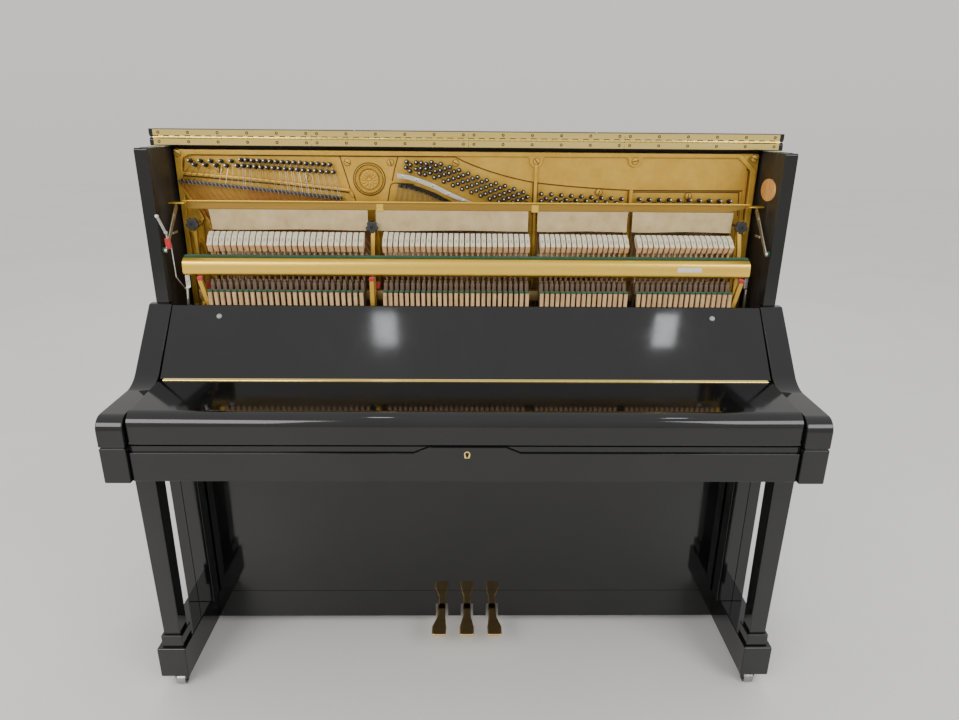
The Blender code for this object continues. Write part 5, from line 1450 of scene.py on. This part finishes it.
# ---------------------------------------------------------------- hammer rest rail
# A drawn metal tube, satin gold, that the shanks lie against, with a strip of green cloth on its top.
# A small blank plate is stuck to its front at the treble end.
satin_gold = finish(
    "satin_gold_tube", BRUSHED, (0.95, 0.635, 0.105), (0.85, 0.545, 0.075), (0.26, 0.34), 420.0,
    along=(0.02, 1, 1), bump=0.03, depth=0.0001, Metallic=0.85,
)
tube = board(
    [
        (0.0040, 1.0060), (0.0062, 0.9985, 0.005), (0.0160, 0.9940, 0.006), (0.0425, 0.9940, 0.003),
        (0.0425, 1.0300, 0.004), (0.0300, 1.0375, 0.006), (0.0165, 1.0370, 0.008),
        (0.0068, 1.0300, 0.008), (0.0040, 1.0200),
    ],
    "YZ", -0.680, 0.680, steps=8,
)
cloth = soften(
    board(
        [
            (0.018, 1.0374), (0.0295, 1.0377), (0.040, 1.0322), (0.0405, 1.0365, 0.002),
            (0.030, 1.0425, 0.003), (0.016, 1.0412, 0.002),
        ],
        "YZ", -0.678, 0.678, 4,
    ),
    0.0008, 1,
)
show("rest_rail_tube", soften(tube, 0.0012, 2), "hammer_rail", (satin_gold,), ["hammer_rail"])
show("rest_rail_cloth", cloth, "hammer_rail", (green_felt,))
label = soften(board(oblong(0.5035, 1.0105, 0.5620, 1.0215, 0.002), "XZ", 0.0034, 0.0044), 0.0002, 1)
pale_metal = finish(
    "pale_anodised_plate", BRUSHED, (0.78, 0.77, 0.74), (0.66, 0.65, 0.62), (0.3, 0.5), 600.0,
    along=(0.05, 1, 1), bump=0.05, depth=0.0001, Metallic=0.3,
)
show("rest_rail_plate", label, "hammer_rail", (pale_metal,))

# ---------------------------------------------------------------- practice rail
# A gold angle on two nickel arms that swing about the side boards. Four flaps of thick cream felt hang
# from it, and the middle pedal lowers them between the hammers and the strings. At the bass end a stiff
# wire in a red felt sleeve pulls a crank on the rail's arm.
speckled_felt = finish(
    "practice_felt", FELT, (0.43, 0.310, 0.140), (0.66, 0.515, 0.275), (0.90, 0.98), 620.0, bump=0.6,
    depth=0.0006, Sheen_Weight=0.25, Sheen_Roughness=0.6,
)
web = [
    (-0.684, 1.1430, 0.003), (0.640, 1.1430, 0.003), (0.686, 1.1550, 0.002), (0.690, 1.1635, 0.002),
    (-0.690, 1.1635, 0.002), (-0.684, 1.1540),
]
# the angle's upright web is coloured a darker gold than its top flange: painted shade, as the top is lit
# from above
angle = [
    paint(soften(board(web, "XZ", 0.0870, 0.0893), 0.0006, 2), 2),
    soften(block((-0.690, 0.0800, 1.1610), (0.690, 0.0893, 1.1640)), 0.0008, 3),
]
for x in (-0.2155, 0.1630):
    # a gold clip over the joint between two flaps
    angle.append(soften(
        board(oblong(x - 0.0085, 1.1400, x + 0.0085, 1.1580, 0.002), "XZ", 0.0850, 0.0869), 0.0004, 2,
    ))
for sign in (-1, 1):
    low, high = mirrored(sign, 0.680, 0.7170)
    angle.append(soften(board(oblong(0.0620, 1.1572, 0.0893, 1.1602), "YZ", low, high), 0.0006))
    x = sign * 0.7082
    arm = board(
        [
            (-0.009, 1.0545, 0.003), (-0.001, 1.0500, 0.003), (0.0915, 1.1440, 0.003),
            (0.0915, 1.1555, 0.002), (0.082, 1.1555, 0.002),
        ],
        "YZ", x - 0.0012, x + 0.0012,
    )
    angle.append(paint(soften(arm, 0.0005, 1), 1))
    angle.append(paint(
        rod((x - sign * 0.003, -0.004, 1.058), (x + sign * 0.004, -0.004, 1.058), 0.0042, 14), 1,
    ))
    for y, z in ((0.083, 1.150), (0.066, 1.130)):
        angle.append(paint(screw((x - sign * 0.0014, y, z), (-sign, 0, 0), 0.0026, 0.0012, 0.7, 12), 1))
# painted shade: the darker gold that stands for the shade on the angle's upright web
shaded_web_gold = finish(
    "gold_web_painted_shade", BRUSHED, (0.34, 0.195, 0.030), (0.46, 0.280, 0.055), (0.38, 0.52), 420.0,
    along=(0.02, 1, 1), bump=0.05, depth=0.0001, Metallic=0.6,
)
show(
    "practice_rail_angle", gather(angle), "mute_rail", (satin_gold, plate_nickel, shaded_web_gold),
    ["mute_rail"],
)
lever = [
    soften(
        board(
            [
                (-0.0400, 1.1410, 0.003), (-0.0310, 1.1440, 0.003), (0.0035, 1.0990),
                (0.0030, 1.0930, 0.002), (-0.0040, 1.0950, 0.002),
            ],
            "YZ", -0.7055, -0.7035, 3,
        ),
        0.0004, 1,
    ),
    rod((-0.7075, -0.0345, 1.1405), (-0.7015, -0.0345, 1.1405), 0.0038, 14),
    rod((-0.7075, -0.0005, 1.0985), (-0.7015, -0.0005, 1.0985), 0.0034, 14),
    soften(
        board(
            [(-0.0030, 1.0990), (0.0030, 1.1000), (0.0075, 1.0760, 0.002), (0.0015, 1.0750, 0.002)], "YZ",
            -0.7050, -0.7035, 3,
        ),
        0.0004, 1,
    ),
]
show("practice_rail_crank", gather(lever), "mute_rail", (pale_metal,))
pull = strand(
    [
        (-0.7045, 0.0060, 1.0680), (-0.7045, 0.0187, 1.0598), (-0.7045, 0.0229, 0.9882),
        (-0.7045, 0.0743, 0.9416), (-0.7045, 0.0760, 0.9000),
    ],
    0.0013, 8,
)
show("practice_rail_pull_wire", pull, "case", (pale_metal,))
sleeve = soften(
    board(
        [
            (-0.0015, 1.0860, 0.003), (0.0060, 1.0840, 0.003), (0.0125, 1.0610, 0.002),
            (0.0010, 1.0590, 0.002),
        ],
        "YZ", -0.7100, -0.6990, 3,
    ),
    0.0012, 2,
)
show("practice_rail_felt_sleeve", sleeve, "case", (red_felt,))
washers = []
for sign in (-1, 1):
    for y, z, radius in ((-0.004, 1.058, 0.0065), (0.052, 1.108, 0.0045)):
        x = sign * 0.7105
        washers.append(soften(rod((x, y, z), (x + sign * 0.003, y, z), radius, 16), 0.0005, 1))
show("practice_rail_washers", gather(washers), "mute_rail", (green_felt,))
flaps = []
for low, high, cut_low, cut_high in (
    (-0.632, -0.246, 0.0050, 0.0), (-0.226, 0.147, 0.0, 0.0), (0.170, 0.392, 0.0, 0.0005),
    (0.404, 0.653, 0.0, 0.0030),
):
    flap = bmesh.new()
    bmesh.ops.create_grid(flap, x_segments=60, y_segments=14, size=0.5)
    bmesh.ops.scale(flap, vec=(high - low, 0.0482, 1), verts=flap.verts)
    bmesh.ops.rotate(flap, matrix=Matrix.Rotation(math.pi / 2, 3, "X"), verts=flap.verts)
    for vertex in flap.verts:
        share = vertex.co.x / (high - low)
        drop = 0.5 - vertex.co.z / 0.0482
        cut = cut_low if share < 0 else -cut_high
        vertex.co.x += (low + high) / 2 + drop * cut * abs(2 * share) ** 4
        wave = 0.0009 * math.sin(share * 9 + low * 20) + 0.0003 * math.sin(share * 61)
        vertex.co.y = 0.0868 + drop * wave - 0.0085 * max(0.0, drop - 0.45) ** 1.5
        vertex.co.z += 1.1181 + 0.0010 * drop * math.sin(share * 7 + 1)
    bmesh.ops.solidify(flap, geom=flap.faces[:], thickness=0.0026)
    flaps.append(soften(flap, 0.0007, 2, 60))
felt = show("practice_felt_flaps", gather(flaps), "mute_rail", (speckled_felt,), ["mute_felt"])

# ---------------------------------------------------------------- fittings on the side boards
# Nickel catches that hold the upper front panel, a felt pad and a rubber button on each board's top,
# a thin oval of orange wood glued inside the treble board, and two guides with the rods they hold.
pads = []
for sign in (-1, 1):
    low, high = mirrored(sign, 0.727, 0.743)
    pads.append(soften(block((low, 0.020, 1.2870), (high, 0.075, 1.2876)), 0.0002, 1))
    pads.append(paint(
        moved(
            spun([(0, 0.0006), (0.0045, 0.0005), (0.006, 0.0), (0, 0.0)], 20),
            Matrix.Translation((sign * 0.735, 0.006, 1.2870)),
        ),
        1,
    ))
show("board_top_pads", gather(pads), "case", (green_felt, rubber))
catches = []
for sign in (-1, 1):
    low, high = mirrored(sign, 0.7155, 0.7193)
    catches.append(soften(block((low, 0.066, 1.0830), (high, 0.096, 1.0890)), 0.0015, 3))
    catches.append(screw((sign * 0.7155, 0.090, 1.086), (-sign, 0, 0), 0.0022, 0.0008, 0.4, 12))
show("panel_catches", gather(catches), "case", (plate_nickel, painted_hollow_shadow))
disc = spun([(0, 0.004), (0.0235, 0.004), (0.0258, 0.0032), (0.0262, 0.0), (0, 0.0)], 48)
bmesh.ops.scale(disc, vec=(1.0, 1.48, 1.0), verts=disc.verts)
disc = moved(disc, Matrix.Translation((0.7193, 0.0590, 1.2003)) @ Matrix.Rotation(-math.pi / 2, 4, "Y"))
orange_wood = finish(
    "orange_turned_wood", GRAIN, (0.62, 0.27, 0.060), (0.84, 0.46, 0.16), (0.35, 0.5), 150.0,
    along=(1, 1, 0.10), bump=0.2, depth=0.0002,
)
show("wooden_disc", disc, "case", (orange_wood,))
hooks = [
    soften(block((-0.6818, 0.0180, 0.9650), (-0.6706, 0.0196, 0.9930)), 0.0005),
    soften(block((-0.6818, 0.0080, 0.9640), (-0.6706, 0.0196, 0.9656)), 0.0005),
    screw((-0.6762, 0.0180, 0.9800), (0, -1, 0), 0.0030, 0.0010, 0.5, 12),
    rod((-0.6768, 0.0130, 0.9640), (-0.6835, 0.0180, 0.9000), 0.0034, 12),
    soften(block((0.6965, 0.0700, 0.9560), (0.7055, 0.0720, 0.9830)), 0.0006),
    rod((0.7010, 0.066, 0.955), (0.7010, 0.066, 0.905), 0.0035, 12),
]
show("damper_rod_guides", gather(hooks), "case", (plate_nickel, painted_hollow_shadow))

# ---------------------------------------------------------------- pedals
# Three cast brass pedals, polished, with broad, nearly square toes. The outer two lean out a little.
pedal_brass = finish(
    "pedal_brass", BRUSHED, (0.88, 0.64, 0.28), (0.60, 0.38, 0.14), (0.08, 0.26), 300.0,
    along=(1, 0.05, 1), bump=0.05, depth=0.0001, Metallic=1.0,
)
for name, index in (("left", -1), ("middle", 0), ("right", 1)):
    x = index * 0.070
    tip = x + index * 0.004
    outline = [
        (tip - 0.0190, -0.147, 0.006), (tip + 0.0190, -0.147, 0.006), (tip + 0.0195, -0.116, 0.020),
        (x + 0.0108, -0.076, 0.020), (x + 0.0100, -0.025), (x + 0.0080, 0.020), (x + 0.0080, 0.125),
        (x - 0.0080, 0.125), (x - 0.0080, 0.020), (x - 0.0100, -0.025), (x - 0.0108, -0.076, 0.020),
        (tip - 0.0195, -0.116, 0.020),
    ]
    pedal = soften(board(outline, "XY", 0.062, 0.070, 8), 0.0032, 4)
    show("brass_pedal_" + name, pedal, "pedal_" + name, (pedal_brass,), ["pedal_" + name])

# ---------------------------------------------------------------- trapwork
# Hardwood levers on the bottom board carry each pedal's movement to the bass end, where two dowels
# rise to the action. Felt faces the ends so that nothing knocks.
beech = finish(
    "trap_beech", GRAIN, (0.48, 0.30, 0.15), (0.62, 0.43, 0.25), (0.5, 0.7), 70.0, along=(0.05, 1, 1),
    bump=0.25, depth=0.0002,
)
dowel_wood = finish(
    "dowel_birch", GRAIN, (0.56, 0.40, 0.23), (0.68, 0.52, 0.33), (0.5, 0.7), 110.0, along=(1, 1, 0.05),
    bump=0.2, depth=0.0002,
)
for name in ("soft", "damper", "mute"):
    refinish("trap_lever_" + name, beech, 0.0012)
for name in ("soft", "damper"):
    refinish("dowel_" + name, dowel_wood)

# ---------------------------------------------------------------- floor, light and camera
# A pale floor and walls all round give the lacquer something to mirror; four small ceiling lamps make
# the streaks that it shows.
floor = bmesh.new()
bmesh.ops.create_grid(floor, x_segments=1, y_segments=1, size=14.0)
floor_mesh = bpy.data.meshes.new("floor")
floor.to_mesh(floor_mesh)
floor.free()
floor_mesh.materials.append(
    finish("pale_floor", WIPED, (0.78, 0.775, 0.755), (0.72, 0.715, 0.695), (0.35, 0.50), 1.2, bump=0.02)
)
ground = bpy.data.objects.new("floor", floor_mesh)
bpy.context.scene.collection.objects.link(ground)

world = bpy.data.worlds.new("studio")
bpy.context.scene.world = world
world.use_nodes = True
sky = world.node_tree
toward = node(sky, "TexCoord").outputs["Generated"]
height = node(sky, "SeparateXYZ", Vector=toward).outputs["Z"]
climb = node(sky, "MapRange", Value=height, _1=-0.05, _2=0.85)
walls = node(
    sky, "Mix", {"data_type": "RGBA"}, _0=climb.outputs[0], _6=(0.80, 0.77, 0.74, 1),
    _7=(1.0, 1.0, 1.0, 1),
)
sky.links.new(walls.outputs[2], sky.nodes["Background"].inputs["Color"])
sky.nodes["Background"].inputs["Strength"].default_value = 1.0


def lamp(name, where, aim, size, power, colour=(1, 1, 1)):
    """A soft square lamp that faces a point."""
    light = bpy.data.lights.new(name, "AREA")
    light.shape = "RECTANGLE"
    light.size, light.size_y = size
    light.energy = power
    light.color = colour
    holder = bpy.data.objects.new(name, light)
    holder.location = where
    holder.rotation_euler = (Vector(aim) - Vector(where)).to_track_quat("-Z", "Y").to_euler()
    bpy.context.scene.collection.objects.link(holder)


lamp("window", (-2.4, -3.4, 3.0), (0, 0, 0.8), (2.4, 1.8), 90, (1, 0.98, 0.95))
lamp("fill", (2.6, -3.0, 3.0), (0, 0, 0.8), (2.0, 1.6), 60, (0.97, 0.98, 1))
for index, (x, y, power) in enumerate((
    (-0.46, -1.02, 0.8), (1.09, -1.02, 0.8), (-0.76, 2.9, 12), (0.80, 2.9, 12),
)):
    lamp(f"ceiling_{index}", (x, y, 2.8), (x, y, 0), (0.12, 0.20), power, (0.94, 0.97, 1))

lens = bpy.data.cameras.new("camera")
lens.lens = 25.63
lens.sensor_width = 36
lens.clip_start = 0.05
lens.clip_end = 60
camera = bpy.data.objects.new("camera", lens)
right = Vector((0.99988, -0.013098, 0.008867))
up = Vector((-0.004024, 0.331496, 0.943452))
back = right.cross(up)
camera.matrix_world = Matrix((
    (right.x, up.x, back.x, 0.0032),
    (right.y, up.y, back.y, -1.6089),
    (right.z, up.z, back.z, 1.352),
    (0, 0, 0, 1),
))
bpy.context.scene.collection.objects.link(camera)
bpy.context.scene.camera = camera
